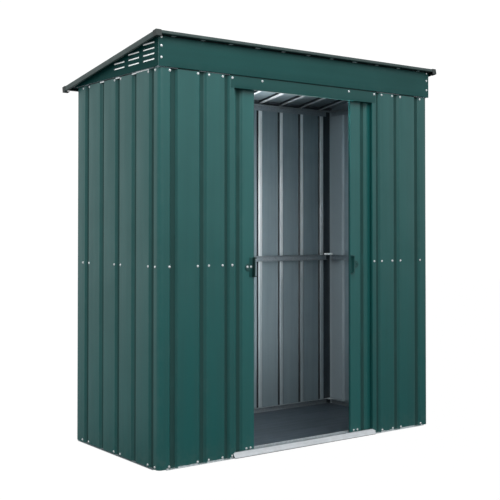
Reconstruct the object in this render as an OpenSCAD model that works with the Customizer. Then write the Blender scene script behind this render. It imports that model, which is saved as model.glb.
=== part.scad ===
// Pent roof storage shed in folded sheet steel, with two sliding doors.
// X runs along the front, Y from the front (-Y) to the back, Z up from the ground.
// The origin is on the ground, under the middle of the roof's outline.

/* [Shed] */
// Width over the side walls
shed_w = 1770; // [1450:10:2200]
// Depth over the front and back walls
shed_d = 835; // [680:5:1100]
// Height of the top of the wall rails, where fascia and gables begin
wall_h = 1848; // [1500:4:2300]
// Outer radius of the rounded corner posts
corner_r = 38; // [20:1:40]

/* [Sheet] */
// Thickness of the folded wall, door and roof sheet
sheet_t = 0.8; // [0.5:0.1:1.2]
// Thickness of the rails and the door ramp
rail_t = 1.2; // [0.8:0.1:2]
// Distance between the grooves of a panel
rib_pitch = 162; // [130:2:200]
// Width of a groove at the panel's face
rib_top = 44; // [36:1:60]
// Width of a groove's floor
rib_floor = 24; // [16:1:30]
// Depth of a groove in the walls and the roof
rib_d = 12; // [8:1:16]
// Distance from the side wall to the first groove of the front
front_first = 81; // [76:1:100]
// Distance from the front wall to the first groove of the sides
side_first = 66; // [66:1:90]

/* [Doorway] */
// Clear width between the door jambs
doorway_w = 918; // [740:2:1110]
// Height of the header's lower edge
doorway_h = 1785; // [1440:5:1800]
// How far the ramp reaches in front of the wall
ramp_out = 16; // [12:1:34]
// Height of the ramp's top
ramp_h = 26; // [20:1:32]
// How far the ramp reaches past each jamb
ramp_past = 7; // [0:1:30]

/* [Doors] */
// How far a door reaches past the middle of its jamb when it is shut
door_lap = 51; // [35:1:60]
// Distance from the front wall's rails to the doors' faces
door_gap = 11.2; // [11.2:0.2:20]
// Depth of the folded edges of a door
door_depth = 16; // [15:1:20]
// Depth of a door's grooves
door_rib_d = 10; // [6:1:10]
// Distance from a door's edge to its first groove
door_first = 93; // [80:1:110]
// Gap between an open door and the side wall
side_gap = 54; // [46:1:80]
// Gap between the doors when both are shut
meet_gap = 5; // [5:1:10]
// Height of a door's lower edge
door_z0 = 14; // [12:1:20]
// Height of a handle's middle
handle_z = 914; // [700:2:1150]
// Height of a handle
handle_h = 96; // [70:2:130]
// Width of a handle's plate with its screw tab
handle_w = 56; // [50:1:60]
// Width of the plate above and below the tab
grip_w = 30; // [24:1:36]
// How far a handle stands out of its door
handle_out = 22; // [14:1:24]

/* [Roof] */
// Slope of the roof, in degrees
roof_pitch = 8.91; // [5:0.01:14]
// Overhang in front of the wall
over_front = 38.4; // [34:0.2:80]
// Overhang behind the wall
over_back = 92.8; // [50:0.2:120]
// Overhang past each side wall
over_side = 37.6; // [24:0.2:60]
// Gap between the wall rails and the roof at the back
eave_lift = 8.4; // [6:0.2:20]
// How far fascia and gables stand proud of the walls
proud = 6; // [3:0.5:10]
// Depth of the trim along the roof's sides
side_trim_h = 26.6; // [20:0.2:40]

/* [Rails] */
// Height of the base rails' upstand
base_h = 34; // [28:1:50]
// Height of the middle rails' upper face
mid_z = 940; // [700:5:1100]
// Height of a middle rail
mid_h = 32; // [24:1:45]
// Depth of a rail's flange
flange = 18; // [12:1:18]
// Thickness of the floor panel
floor_t = 3; // [1.5:0.5:3]

/* [Vents] */
// Length of a vent slot
slot_l = 104; // [60:2:110]
// Height of a vent slot
slot_h = 8; // [5:1:10]
// Distance between the columns of slots
slot_pitch = 140; // [120:2:170]
// Distance between the rows of slots
slot_rise = 25.7; // [20:0.1:30]
// Number of columns, with one slot fewer in each
slot_columns = 3; // [1:1:3]

/* [Hidden] */
green = "#2f5f58";
dark_green = "#1d3f3a";
zinc = "#aab4ba";
bright = "#dfe4e8";
nylon = "#d8d8d2";
floor_grey = "#454b54";
hw = shed_w / 2;
web_t = 1.5;                          // bottom web of the base rails
hem_t = 3;                            // hemmed flange on top of the walls
panel_top = wall_h - hem_t;
rail_off = rib_d + 2 * sheet_t;       // a rail's web lies behind the lapped grooves
web_in = 40;                          // width of a base rail's web inside the wall
lip_out = 8;                          // how far a base rail shows outside the wall
lap_gap = 1;                          // gap at the free edge of a lap
touch = 0.3;                          // gap between a sliding piece and its seat
arc_steps = 8;

// Roof frame: s runs down the slope from the back wall's face, n stands square to it.
roof_t = rail_off;                    // from the lapped grooves' underside to the pans' upper face
cap_t = 1.5;                          // wall of a corner cap
cap_gap = 0.2;
cap_l = 28;                           // reach of a corner cap along the trims
trim_over = 18;                       // how far a trim covers the roof sheet
trim_n1 = roof_t + cap_gap + sheet_t; // upper face of the trims
cap_n1 = trim_n1 + cap_gap + cap_t;
trim_n0 = trim_n1 - side_trim_h;      // lower face of the side trims
cap_n0 = trim_n0 - cap_gap - cap_t;
s_front = -(shed_d + over_front) / cos(roof_pitch);
s_back = over_back / cos(roof_pitch);
trim_s0 = s_front + cap_t + cap_gap;
trim_s1 = s_back - cap_t - cap_gap;
trim_x = hw + over_side - cap_t - cap_gap;
roof_z = wall_h + eave_lift;          // the lapped grooves' underside at the back wall's face

// The wall's front face stands at y = y0, so that the roof's outline is centred on the origin.
plan_front = -over_front + cap_n0 * sin(roof_pitch);
plan_back = shed_d + over_back + cap_n1 * sin(roof_pitch);
y0 = -(plan_front + plan_back) / 2;

// Grooves, as distances along each wall
corner_flat = 4;                      // flat face between a corner's arc and a groove
back_side = floor((hw - corner_r - corner_flat - rib_top / 2) / rib_pitch);
back_grooves = [for (i = [-back_side:back_side]) hw + i * rib_pitch];
side_count = floor((shed_d - side_first - corner_r - corner_flat - rib_top / 2) / rib_pitch) + 1;
side_grooves = [for (i = [0:side_count - 1]) side_first + i * rib_pitch];
side_split = floor(side_count / 2);
jamb_edge = (shed_w - doorway_w) / 2;
jamb_strip = 43;                      // from the jamb's groove to the doorway
jamb_top = 32;                        // width of the jamb's groove at the face
jamb_floor = 14;
jamb_c = jamb_edge - jamb_strip;
front_count = floor((jamb_c - front_first) / rib_pitch - 0.5);
front_grooves = [for (i = [1:1:front_count]) front_first + i * rib_pitch];
header_lap = 22;                      // how far the header's plate covers a jamb
jamb_return = rail_off - touch;       // depth of the folded edge of a jamb and of the header

// Doors
door_inset = rail_off + rail_t + door_gap;  // from the wall's face to the doors' faces
door_w = doorway_w / 2 + door_lap;
door_span = door_w - 2 * door_first;
door_steps = max(1, round(door_span / rib_pitch));
door_grooves = [for (i = [0:door_steps]) door_first + i * door_span / door_steps];
handle_clear = 10;                    // least gap between an open door's handle and the jamb
door_lead = min(hw - side_gap - door_w, doorway_w / 2 - handle_w - handle_clear);
stile_lip = 12;                       // width of the lip inside a door's folded edge
stiff_h = 30;                         // height of a door's inner stiffeners
stiff_past = 3;                       // how far their flanges reach past the door's folded edges
stiff_in = door_rib_d + sheet_t;      // a stiffener's web lies behind the door's grooves
stiff_out = door_depth + stiff_past;

// Top track, with the hangers' necks in its slot
track_w = 26;
track_slot = 10;
track_h = 39;
track_z0 = panel_top - track_h;
neck_t = 4.8;                         // thickness of a hanger's neck, in front of the stiffener
head_w = 16;
head_h = 10;
track_c = door_inset + stiff_in - neck_t / 2;
door_top_gap = 10;                    // from a door's upper edge to the track
door_z1 = track_z0 - door_top_gap;
hanger_l = 40;
hanger_in = 15;                       // from a door's edge to its hangers and shoes
hanger_down = 20;                     // how far hangers and shoes overlap a door

// Base channel under the doors
ramp_fold = 4;                        // from the ramp's top to the upstand below it
front_up = ramp_h - ramp_fold;        // height of the channel's front upstand
back_up = ramp_h + 1;                 // height of its rear upstand
shoe_gap = 5.5;                       // from a shoe to the rear upstand
shoe_foot = 7;                        // height of a shoe's foot
shoe_front = 6;                       // how far it reaches in front of the door
tongue_t = 8.8;                       // thickness of the shoe's tongue
channel_back = door_inset + stiff_out + shoe_gap + rail_t;

// --- Folded sheet ---

function left_of(a, b) = let (d = (b - a) / norm(b - a)) [-d[1], d[0]];

// Point i of a path, moved by t square to it, with a mitre at each fold
function moved(p, i, t) =
  let (a = i > 0 ? left_of(p[i - 1], p[i]) : left_of(p[0], p[1]),
       b = i < len(p) - 1 ? left_of(p[i], p[i + 1]) : a)
  p[i] + t * (a + b) / (1 + a * b);

// Outline of a sheet of thickness t on the left of a path
function sheet(p, t = sheet_t) = concat(p, [for (i = [len(p) - 1:-1:0]) moved(p, i, t)]);

// A panel's section runs in [distance along the wall, depth into the wall].
function groove(c, d = rib_d) =
  [[c - rib_top / 2, 0], [c - rib_floor / 2, d], [c + rib_floor / 2, d], [c + rib_top / 2, 0]];
function lap_start(c, d, top = rib_top, bottom = rib_floor) =
  [[c - bottom / 2 + lap_gap, d], [c + bottom / 2, d], [c + top / 2, 0]];
function lap_end(c, d, top = rib_top, bottom = rib_floor) =
  [[c - top / 2, 0], [c - bottom / 2, d], [c + bottom / 2 - lap_gap, d]];
function grooves(list, d = rib_d) = [for (c = list) each groove(c, d)];
over = rib_d;                         // depth of the outer sheet in a lap
under = rib_d + sheet_t;              // depth of the inner one
function span(list, from, to) = [for (i = [from:1:to]) list[i]];

// Extrusions of a section: up a wall, along X, along Y and down the roof
module upright(points, z0 = web_t, z1 = panel_top) {
  translate([0, 0, z0]) linear_extrude(z1 - z0) polygon(points);
}
module along_x(x0, x1) {
  translate([x0, 0, 0]) rotate([90, 0, 90]) linear_extrude(x1 - x0) children();
}
module along_y(ya, yb) {
  translate([0, yb, 0]) rotate([90, 0, 0]) linear_extrude(yb - ya) children();
}
module on_roof() {
  translate([0, y0 + shed_d, roof_z]) rotate([-roof_pitch, 0, 0]) children();
}
module box(x0, x1, ya, yb, z0, z1) {
  translate([x0, ya, z0]) cube([x1 - x0, yb - ya, z1 - z0]);
}
module rect(a0, a1, b0, b1) {
  translate([a0, b0]) square([a1 - a0, b1 - b0]);
}
module both_sides() {
  children();
  mirror([1, 0, 0]) children();
}

// Plan points of each wall's section
function on_front(p) = [for (q = p) [q[0] - hw, y0 + q[1]]];
function on_left(p) = [for (q = p) [q[1] - hw, y0 + q[0]]];
function on_back(p) = [for (q = p) [q[0] - hw, y0 + shed_d - q[1]]];

// --- Base ---

module floor_panel() {
  inset = rail_off + rail_t + touch;
  color(floor_grey)
    box(-hw + inset, hw - inset, y0 + channel_back, y0 + shed_d - inset, web_t, web_t + floor_t);
}

// Section of a base rail: web under the wall, upstand behind it and a flange on top
module base_section() {
  rect(-lip_out, web_in, 0, web_t);
  rect(rail_off, rail_off + rail_t, 0, base_h);
  rect(rail_off, rail_off + flange, base_h - rail_t, base_h);
}

// The front rail is the doors' bottom channel.
module front_base_rail() {
  color(zinc) translate([0, y0, 0]) along_x(-hw + web_in, hw - web_in) {
    rect(-lip_out, channel_back, 0, web_t);
    rect(rail_off, rail_off + rail_t, 0, front_up);
    rect(channel_back - rail_t, channel_back, 0, back_up);
  }
}

module back_base_rail() {
  color(zinc) translate([0, y0 + shed_d, 0]) along_x(-hw + web_in, hw - web_in)
    mirror([1, 0]) base_section();
}

module side_base_rails() {
  color(zinc) both_sides() translate([-hw, 0, 0])
    along_y(y0 + corner_r, y0 + shed_d - corner_r) base_section();
}

// Plates that join the rails in the back corners, above the base and the middle rails
module corner_plates() {
  reach = 54;
  for (z = [base_h, mid_z])
    color(bright) both_sides()
      box(-hw + rail_off, -hw + reach, y0 + shed_d - reach, y0 + shed_d - rail_off, z, z + rail_t);
}

// The sloped sheet is wider than the doorway, and its top is folded down between the jambs.
module door_ramp() {
  toe = 2.5;
  foot = [[-ramp_out, 0], [-ramp_out, toe]];
  crest = [1, ramp_h];
  outer = [-rail_t, ramp_h - (ramp_h - toe) * (1 + rail_t) / (1 + ramp_out)];
  back = rail_off - cap_gap;
  color(bright) translate([0, y0, 0]) {
    along_x(-doorway_w / 2 - ramp_past, doorway_w / 2 + ramp_past)
      polygon(sheet(concat(foot, [outer]), -rail_t));
    along_x(-doorway_w / 2 + touch, doorway_w / 2 - touch)
      polygon(sheet(concat(foot, [crest, [back, ramp_h], [back, ramp_h / 3]]), -rail_t));
  }
}

// --- Walls ---

// Rounded corner post seen from its corner: leg a along +Y and leg b along +X, each ending in a lap
function corner_path(ca, da, cb, db) =
  let (a = lap_end(ca, da), b = lap_end(cb, db))
  concat([for (i = [2:-1:0]) [a[i][1], a[i][0]]],
         [for (i = [0:arc_steps]) let (w = 180 + 90 * i / arc_steps) corner_r * [1 + cos(w), 1 + sin(w)]],
         b);

module corner_front_left() {
  color(green) translate([-hw, y0, 0])
    upright(sheet(corner_path(side_grooves[0], over, front_first, over)));
}
module corner_front_right() { mirror([1, 0, 0]) corner_front_left(); }

module corner_back_left() {
  last = shed_d - side_grooves[side_count - 1];
  color(green) translate([-hw, y0 + shed_d, 0]) mirror([0, 1, 0])
    upright(sheet(corner_path(last, under, back_grooves[0], over)));
}
module corner_back_right() { mirror([1, 0, 0]) corner_back_left(); }

module front_panel_left() {
  path = concat(lap_start(front_first, under), grooves(front_grooves),
                lap_end(jamb_c, over, jamb_top, jamb_floor));
  color(green) upright(on_front(sheet(path)));
}
module front_panel_right() { mirror([1, 0, 0]) front_panel_left(); }

module door_jambs() {
  path = concat(lap_start(jamb_c, under, jamb_top, jamb_floor),
                [[jamb_edge, 0], [jamb_edge, jamb_return]]);
  color(green) both_sides() upright(on_front(sheet(path)));
}

// A plate over the jambs, with its lower edge folded in between them
module door_header() {
  color(green) {
    box(-doorway_w / 2 - header_lap, doorway_w / 2 + header_lap, y0 - sheet_t, y0, doorway_h, panel_top);
    box(-doorway_w / 2 + touch, doorway_w / 2 - touch, y0 - sheet_t, y0 + jamb_return,
        doorway_h, doorway_h + sheet_t);
  }
}

module left_wall_panel_front() {
  path = concat(lap_start(side_grooves[0], under), grooves(span(side_grooves, 1, side_split - 1)),
                lap_end(side_grooves[side_split], over));
  color(green) upright(on_left(sheet(path)));
}
module left_wall_panel_back() {
  path = concat(lap_start(side_grooves[side_split], under),
                grooves(span(side_grooves, side_split + 1, side_count - 2)),
                lap_end(side_grooves[side_count - 1], over));
  color(green) upright(on_left(sheet(path)));
}
module right_wall_panel_front() { mirror([1, 0, 0]) left_wall_panel_front(); }
module right_wall_panel_back() { mirror([1, 0, 0]) left_wall_panel_back(); }

back_split = ceil(back_side * 0.6);   // groove in which the left panel meets the centre one
module back_wall_panel_left() {
  path = concat(lap_start(back_grooves[0], under), grooves(span(back_grooves, 1, back_split - 1)),
                lap_end(back_grooves[back_split], over));
  color(green) upright(on_back(sheet(path)));
}
module back_wall_panel_centre() {
  last = 2 * back_side - back_split;
  path = concat(lap_start(back_grooves[back_split], under),
                grooves(span(back_grooves, back_split + 1, last - 1)),
                lap_end(back_grooves[last], under));
  color(green) upright(on_back(sheet(path)));
}
module back_wall_panel_right() { mirror([1, 0, 0]) back_wall_panel_left(); }

// --- Rails ---

module mid_section() {
  rect(rail_off, rail_off + rail_t, mid_z - mid_h, mid_z);
  rect(rail_off, rail_off + flange, mid_z - rail_t, mid_z);
  rect(rail_off, rail_off + flange, mid_z - mid_h, mid_z - mid_h + rail_t);
}
module front_mid_rails() {
  jamb_gap = 1;
  color(zinc) both_sides()
    box(-hw + web_in, -hw + jamb_edge - sheet_t - jamb_gap,
        y0 + rail_off, y0 + rail_off + rail_t, mid_z - mid_h, mid_z);
}
module back_mid_rail() {
  color(zinc) translate([0, y0 + shed_d, 0]) along_x(-hw + web_in, hw - web_in)
    mirror([1, 0]) mid_section();
}
module side_mid_rails() {
  color(zinc) both_sides() translate([-hw, 0, 0])
    along_y(y0 + corner_r, y0 + shed_d - corner_r) mid_section();
}

top_in = corner_r + 2;                // how far the top rails' flange reaches in
top_down = 30;                        // height of the top rails' web
module top_section() {
  rect(0, top_in, panel_top, wall_h);
  rect(rail_off, rail_off + rail_t, panel_top - top_down, wall_h);
}
module side_top_rails() {
  color(zinc) both_sides() translate([-hw, 0, 0])
    along_y(y0 + corner_r, y0 + shed_d - corner_r) top_section();
}
module back_top_rail() {
  color(zinc) translate([0, y0 + shed_d, 0]) along_x(-hw + top_in, hw - top_in) mirror([1, 0]) {
    top_section();
    rect(0, rail_t, wall_h - hem_t, roof_z - touch);
  }
}

// Beam over the front wall, with the channel in which the doors' hangers run
module front_top_track() {
  a = track_c - track_w / 2;
  b = track_c + track_w / 2;
  color(zinc) translate([0, y0, 0]) along_x(-hw + top_in, hw - top_in) {
    rect(0, b, panel_top, wall_h);
    rect(rail_off, rail_off + rail_t, panel_top - top_down, wall_h);
    rect(a, a + rail_t, track_z0, wall_h);
    rect(b - rail_t, b, track_z0, wall_h);
    rect(a, track_c - track_slot / 2, track_z0, track_z0 + rail_t);
    rect(track_c + track_slot / 2, b, track_z0, track_z0 + rail_t);
  }
}

// --- Fascia and gables ---

// Height of a line at n above the roof's underside, at depth v behind the front wall's face
function slope_z(v, n) = roof_z + (shed_d - v) * tan(roof_pitch) + n / cos(roof_pitch);

// The board has flanges at its top and bottom between the gables, and only its face beyond them.
module fascia() {
  run = 20;
  top = -touch;
  face = -proud - sheet_t;
  path = [[run, wall_h], [face, wall_h], [face, slope_z(face, top)], [run, slope_z(run, top)]];
  end = [[face, wall_h], [-proud, wall_h], [-proud, slope_z(-proud, top) - sheet_t],
         [face, slope_z(face, top)]];
  color(green) translate([0, y0, 0]) {
    along_x(-hw + top_in, hw - top_in) polygon(sheet(path, -sheet_t));
    both_sides() along_x(-hw + face, -hw + top_in) polygon(end);
  }
}

slot_v0 = 30;                         // from the front wall's face to the first slot
slot_z0 = 34;                         // from the wall's top to the lowest row
module gable_slots() {
  for (column = [0:slot_columns - 1])
    for (row = [0:slot_columns - column])
      rect(slot_v0 + column * slot_pitch, slot_v0 + column * slot_pitch + slot_l,
           wall_h + slot_z0 + row * slot_rise, wall_h + slot_z0 + row * slot_rise + slot_h);
}

// A strip of a gable between the depths a and b, up to n above the roof's underside
function gable_strip(a, b, n) = [[a, wall_h], [b, wall_h], [b, slope_z(b, n)], [a, slope_z(a, n)]];

module left_gable() {
  back = shed_d + proud;
  face = -hw - proud - sheet_t;
  fold = -hw + top_in - 2;
  color(green) {
    // the side sheet with its slots
    translate([0, y0, 0]) along_x(face, face + sheet_t) difference() {
      polygon(gable_strip(-proud, back, roof_t - sheet_t - touch));
      gable_slots();
    }
    // the flange that rests on the side rail
    box(face, fold, y0 + corner_r, y0 + shed_d - corner_r, wall_h, wall_h + sheet_t);
    // the folded edges behind the fascia and at the back
    for (edge = [-proud, back - sheet_t])
      translate([0, y0, 0]) along_x(face, fold) polygon(gable_strip(edge, edge + sheet_t, -touch - sheet_t));
  }
}
module right_gable() { mirror([1, 0, 0]) left_gable(); }

// --- Roof ---

function on_slope(p) = [for (q = p) [q[0] - hw, roof_t - q[1]]];
roof_grooves = back_grooves;
roof_split = back_side - ceil(back_side * 0.4);  // groove in which the left sheet meets the centre one
roof_in = sheet_t + 2 * cap_gap;                 // the sheets' edges inside the trims
sheet_x = trim_x - roof_in - hw;

module roof_sheet(path) {
  color(green) on_roof() along_y(trim_s0 + roof_in, trim_s1 - roof_in) polygon(on_slope(sheet(path)));
}
module roof_panel_left() {
  roof_sheet(concat([[-sheet_x, 0]], grooves(span(roof_grooves, 0, roof_split - 1)),
                    lap_end(roof_grooves[roof_split], over)));
}
module roof_panel_centre() {
  last = 2 * back_side - roof_split;
  roof_sheet(concat(lap_start(roof_grooves[roof_split], under),
                    grooves(span(roof_grooves, roof_split + 1, last - 1)),
                    lap_end(roof_grooves[last], under)));
}
module roof_panel_right() { mirror([1, 0, 0]) roof_panel_left(); }

// Folded trims that wrap the sheets' edges
module end_trim(s) {
  low = -cap_gap - sheet_t;
  lip = 14;
  path = [[lip, low], [0, low], [0, trim_n1], [trim_over, trim_n1]];
  x = trim_x - trim_over - 2 * cap_gap;
  color(dark_green) on_roof() translate([0, s, 0]) mirror([0, s > 0 ? 1 : 0, 0]) along_x(-x, x)
    polygon(sheet(path, -sheet_t));
}
module roof_front_trim() { end_trim(trim_s0); }
module roof_back_trim() { end_trim(trim_s1); }

module roof_side_trims() {
  lip = 10;
  path = [[lip, trim_n0], [0, trim_n0], [0, trim_n1], [trim_over, trim_n1]];
  color(dark_green) both_sides() on_roof() translate([-trim_x, 0, 0]) along_y(trim_s0, trim_s1)
    polygon(sheet(path, -sheet_t));
}

module roof_corner_caps() {
  x = trim_x + cap_gap;
  for (end = [0, 1])
    color(dark_green) both_sides() on_roof()
      translate([0, end == 0 ? trim_s0 - cap_gap : trim_s1 + cap_gap, 0])
      mirror([0, end, 0]) difference() {
        box(-x - cap_t, -x + cap_l, -cap_t, cap_l, cap_n0, cap_n1);
        box(-x, -x + cap_l + 1, 0, cap_l + 1, cap_n0 + cap_t, cap_n1 - cap_t);
      }
}

// --- Doors, drawn open; the left one's shut edge is at x = -door_lead ---

module at_left_door() {
  translate([-door_lead - door_w, y0 + door_inset, 0]) children();
}

module left_door_panel() {
  path = concat([[stile_lip, door_depth], [0, door_depth], [0, 0]], grooves(door_grooves, door_rib_d),
                [[door_w, 0], [door_w, door_depth], [door_w - stile_lip, door_depth]]);
  color(green) at_left_door() upright(sheet(path), door_z0, door_z1);
}
module left_door_stiffeners() {
  color(zinc) at_left_door()
    for (z = [door_z0, mid_z - mid_h, door_z1 - stiff_h])
      along_x(stile_lip + touch, door_w - stile_lip - touch) {
        rect(stiff_in, stiff_in + rail_t, z, z + stiff_h);
        rect(stiff_in, stiff_out, z, z + rail_t);
        rect(stiff_in, stiff_out, z + stiff_h - rail_t, z + stiff_h);
      }
}

// A plate with a round tab for the screws, and an upright bar with two webs, open towards the other door
module left_door_handle() {
  plate_t = 3;
  bar_in = 7;
  bar_t = 6;
  tab_r = 19;
  z0 = handle_z - handle_h / 2;
  color(dark_green) at_left_door() {
    translate([door_w, 0, z0]) rotate([90, 0, 0]) linear_extrude(plate_t) {
      rect(-grip_w, 0, 0, handle_h);
      rect(tab_r - handle_w, -grip_w, handle_h / 2 - tab_r, handle_h / 2 + tab_r);
      translate([tab_r - handle_w, handle_h / 2]) circle(tab_r, $fn = 48);
    }
    box(door_w - bar_in - bar_t, door_w - bar_in, -handle_out, 0, z0, z0 + handle_h);
    for (z = [z0, z0 + handle_h - bar_t])
      box(door_w - bar_in - bar_t, door_w, -handle_out, 0, z, z + bar_t);
  }
}

// Nylon hangers in the top track and shoes in the bottom channel
module left_door_slides() {
  c = track_c - door_inset;
  head_z = track_z0 + rail_t + touch;
  foot_z = web_t + touch;
  color(nylon) at_left_door()
    for (a = [hanger_in, door_w - hanger_in - hanger_l]) {
      box(a, a + hanger_l, stiff_in - neck_t, stiff_in, door_z1 - hanger_down, head_z + head_h);
      box(a, a + hanger_l, c - head_w / 2, c + head_w / 2, head_z, head_z + head_h);
      box(a, a + hanger_l, stiff_in - tongue_t, stiff_in, foot_z, door_z0 + hanger_down);
      box(a, a + hanger_l, -shoe_front, stiff_out, foot_z, foot_z + shoe_foot);
    }
}

module right_door_panel() { mirror([1, 0, 0]) left_door_panel(); }
module right_door_stiffeners() { mirror([1, 0, 0]) left_door_stiffeners(); }
module right_door_handle() { mirror([1, 0, 0]) left_door_handle(); }
module right_door_slides() { mirror([1, 0, 0]) left_door_slides(); }

floor_panel();
front_base_rail();
back_base_rail();
side_base_rails();
corner_plates();
door_ramp();
corner_front_left();
corner_front_right();
corner_back_left();
corner_back_right();
front_panel_left();
front_panel_right();
door_jambs();
door_header();
left_wall_panel_front();
left_wall_panel_back();
right_wall_panel_front();
right_wall_panel_back();
back_wall_panel_left();
back_wall_panel_centre();
back_wall_panel_right();
front_mid_rails();
back_mid_rail();
side_mid_rails();
front_top_track();
back_top_rail();
side_top_rails();
fascia();
left_gable();
right_gable();
roof_panel_left();
roof_panel_centre();
roof_panel_right();
roof_front_trim();
roof_back_trim();
roof_side_trims();
roof_corner_caps();
left_door_panel();
left_door_stiffeners();
left_door_handle();
left_door_slides();
right_door_panel();
right_door_stiffeners();
right_door_handle();
right_door_slides();
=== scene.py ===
"""Pent roof storage shed in green folded sheet steel, with two sliding doors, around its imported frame."""

import logging
import math
from dataclasses import dataclass, field
from enum import Enum

import bmesh
import bpy
import numpy as np
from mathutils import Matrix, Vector


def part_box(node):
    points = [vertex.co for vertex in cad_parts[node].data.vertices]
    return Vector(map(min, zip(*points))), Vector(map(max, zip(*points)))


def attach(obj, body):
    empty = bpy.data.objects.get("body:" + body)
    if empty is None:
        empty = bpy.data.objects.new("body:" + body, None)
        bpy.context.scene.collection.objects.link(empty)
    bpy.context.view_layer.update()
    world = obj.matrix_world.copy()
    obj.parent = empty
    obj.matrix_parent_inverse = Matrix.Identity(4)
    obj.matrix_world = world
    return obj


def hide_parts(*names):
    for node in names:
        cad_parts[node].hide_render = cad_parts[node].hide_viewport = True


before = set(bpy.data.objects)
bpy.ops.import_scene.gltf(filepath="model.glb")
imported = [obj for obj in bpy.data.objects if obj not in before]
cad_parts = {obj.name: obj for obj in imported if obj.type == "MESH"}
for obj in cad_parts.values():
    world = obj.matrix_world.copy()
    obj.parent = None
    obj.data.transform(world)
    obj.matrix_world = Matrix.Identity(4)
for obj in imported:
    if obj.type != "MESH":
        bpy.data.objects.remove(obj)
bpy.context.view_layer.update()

LOG = logging.getLogger("shed")
Array = np.ndarray
Triple = tuple[float, float, float]
Rgba = tuple[float, float, float, float]
Value = bpy.types.NodeSocket | float
Colour = bpy.types.NodeSocket | Rgba


class Body(Enum):
    """Bodies of the frame that pieces ride on."""

    SHELL = "shell"
    LEFT_DOOR = "left_door"
    RIGHT_DOOR = "right_door"


class Slot(Enum):
    """Material slots of the record."""

    SHEET = "sheet_green"
    TRIM = "trim_dark"
    ZINC = "zinc"
    BRIGHT = "bright_zinc"
    ALUMINIUM = "aluminium"
    CAP = "cap_plastic"
    HANDLE = "handle_plastic"
    NYLON = "nylon"


class Hand(Enum):
    """Which side of the shed a part is on."""

    LEFT = -1
    RIGHT = 1


class Face(Enum):
    """Where a face of a folded sheet lies, as an index into its materials."""

    OUTER = 0
    INNER = 1
    EDGE = 2


# ---------------------------------------------------------------- meshes

@dataclass
class Skin:
    """Vertices, faces and the values that go with them, for one mesh."""

    points: Array
    faces: list[Array]
    finish: list[Array]
    fold: Array
    rise: Array

    def volume(self) -> float:
        """Signed volume: the sum of p0 . (p1 x p2) / 6 over the triangles of every face."""
        total = 0.0
        for block in self.faces:
            corners = self.points[block]
            for k in range(1, block.shape[1] - 1):
                turned = np.cross(corners[:, k], corners[:, k + 1])
                total += float(np.einsum("ij,ij->", corners[:, 0], turned))
        return total / 6.0

    def outward(self) -> "Skin":
        """The same skin with its faces pointing outwards."""
        if self.volume() < 0:
            self.faces = [block[:, ::-1] for block in self.faces]
        return self

    @staticmethod
    def joined(skins: list["Skin"]) -> "Skin":
        """Puts several skins into one.

        Args:
            skins: the skins to join, in order.

        Returns:
            One skin with all their points and faces.
        """
        starts = np.cumsum([0] + [len(s.points) for s in skins[:-1]])
        return Skin(
            np.concatenate([s.points for s in skins]),
            [block + start for s, start in zip(skins, starts) for block in s.faces],
            [f for s in skins for f in s.finish],
            np.concatenate([s.fold for s in skins]),
            np.concatenate([s.rise for s in skins]),
        )

    def to_object(self, name: str, coats: list[bpy.types.Material], sharp: float = 32.0) -> bpy.types.Object:
        """Makes a mesh object of the skin.

        Args:
            name: name of the piece.
            coats: its materials, in the order of the finish numbers.
            sharp: angle in degrees above which an edge is drawn sharp.

        Returns:
            The object, linked to the scene, at the origin.
        """
        mesh = bpy.data.meshes.new(name)
        mesh.from_pydata(self.points.tolist(), [], [face for block in self.faces for face in block.tolist()])
        for coat in coats:
            mesh.materials.append(coat)
        mesh.polygons.foreach_set("material_index", np.concatenate(self.finish).astype(np.int32))
        for label, values in (("fold", self.fold), ("rise", self.rise)):
            mesh.attributes.new(label, "FLOAT", "POINT").data.foreach_set("value", values.astype(np.float32))
        mesh.shade_smooth()
        mesh.set_sharp_from_angle(angle=math.radians(sharp))
        mesh.update()
        piece = bpy.data.objects.new(name, mesh)
        bpy.context.scene.collection.objects.link(piece)
        return piece


@dataclass(frozen=True)
class Tag:
    """What a piece rides on, the slot of its finish and the nodes it stands for."""

    body: Body
    slot: Slot
    nodes: tuple[str, ...] = ()

    def on(self, piece: bpy.types.Object) -> bpy.types.Object:
        """Ties the piece to the frame and logs it."""
        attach(piece, self.body.value)
        if self.nodes:
            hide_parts(*self.nodes)
        LOG.info("%s: rides %s, %d faces, for %s", piece.name, self.body.value,
                 len(piece.data.polygons), ", ".join(self.nodes) or "no node")
        return piece


@dataclass(frozen=True)
class Bearings:
    """Place of a section: its origin, its two axes and the direction it is carried along."""

    origin: Triple
    across: Triple
    depth: Triple
    run: Triple

    def place(self, section: Array, along: Array) -> Array:
        """Point = origin + a * across + d * depth + h * run, for every station and every section point."""
        axes = np.array([self.across, self.depth])
        return np.array(self.origin) + section @ axes + along[:, None, None] * np.array(self.run)

    def mirrored(self) -> "Bearings":
        """The same bearings on the other side of the plane x = 0."""
        def flip(v: Triple) -> Triple:
            """Turns the sign of x."""
            return (-v[0], v[1], v[2])
        return Bearings(flip(self.origin), flip(self.across), flip(self.depth), flip(self.run))

    def for_hand(self, hand: Hand) -> "Bearings":
        """These bearings for the left hand, mirrored ones for the right."""
        return self if hand is Hand.LEFT else self.mirrored()


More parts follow.
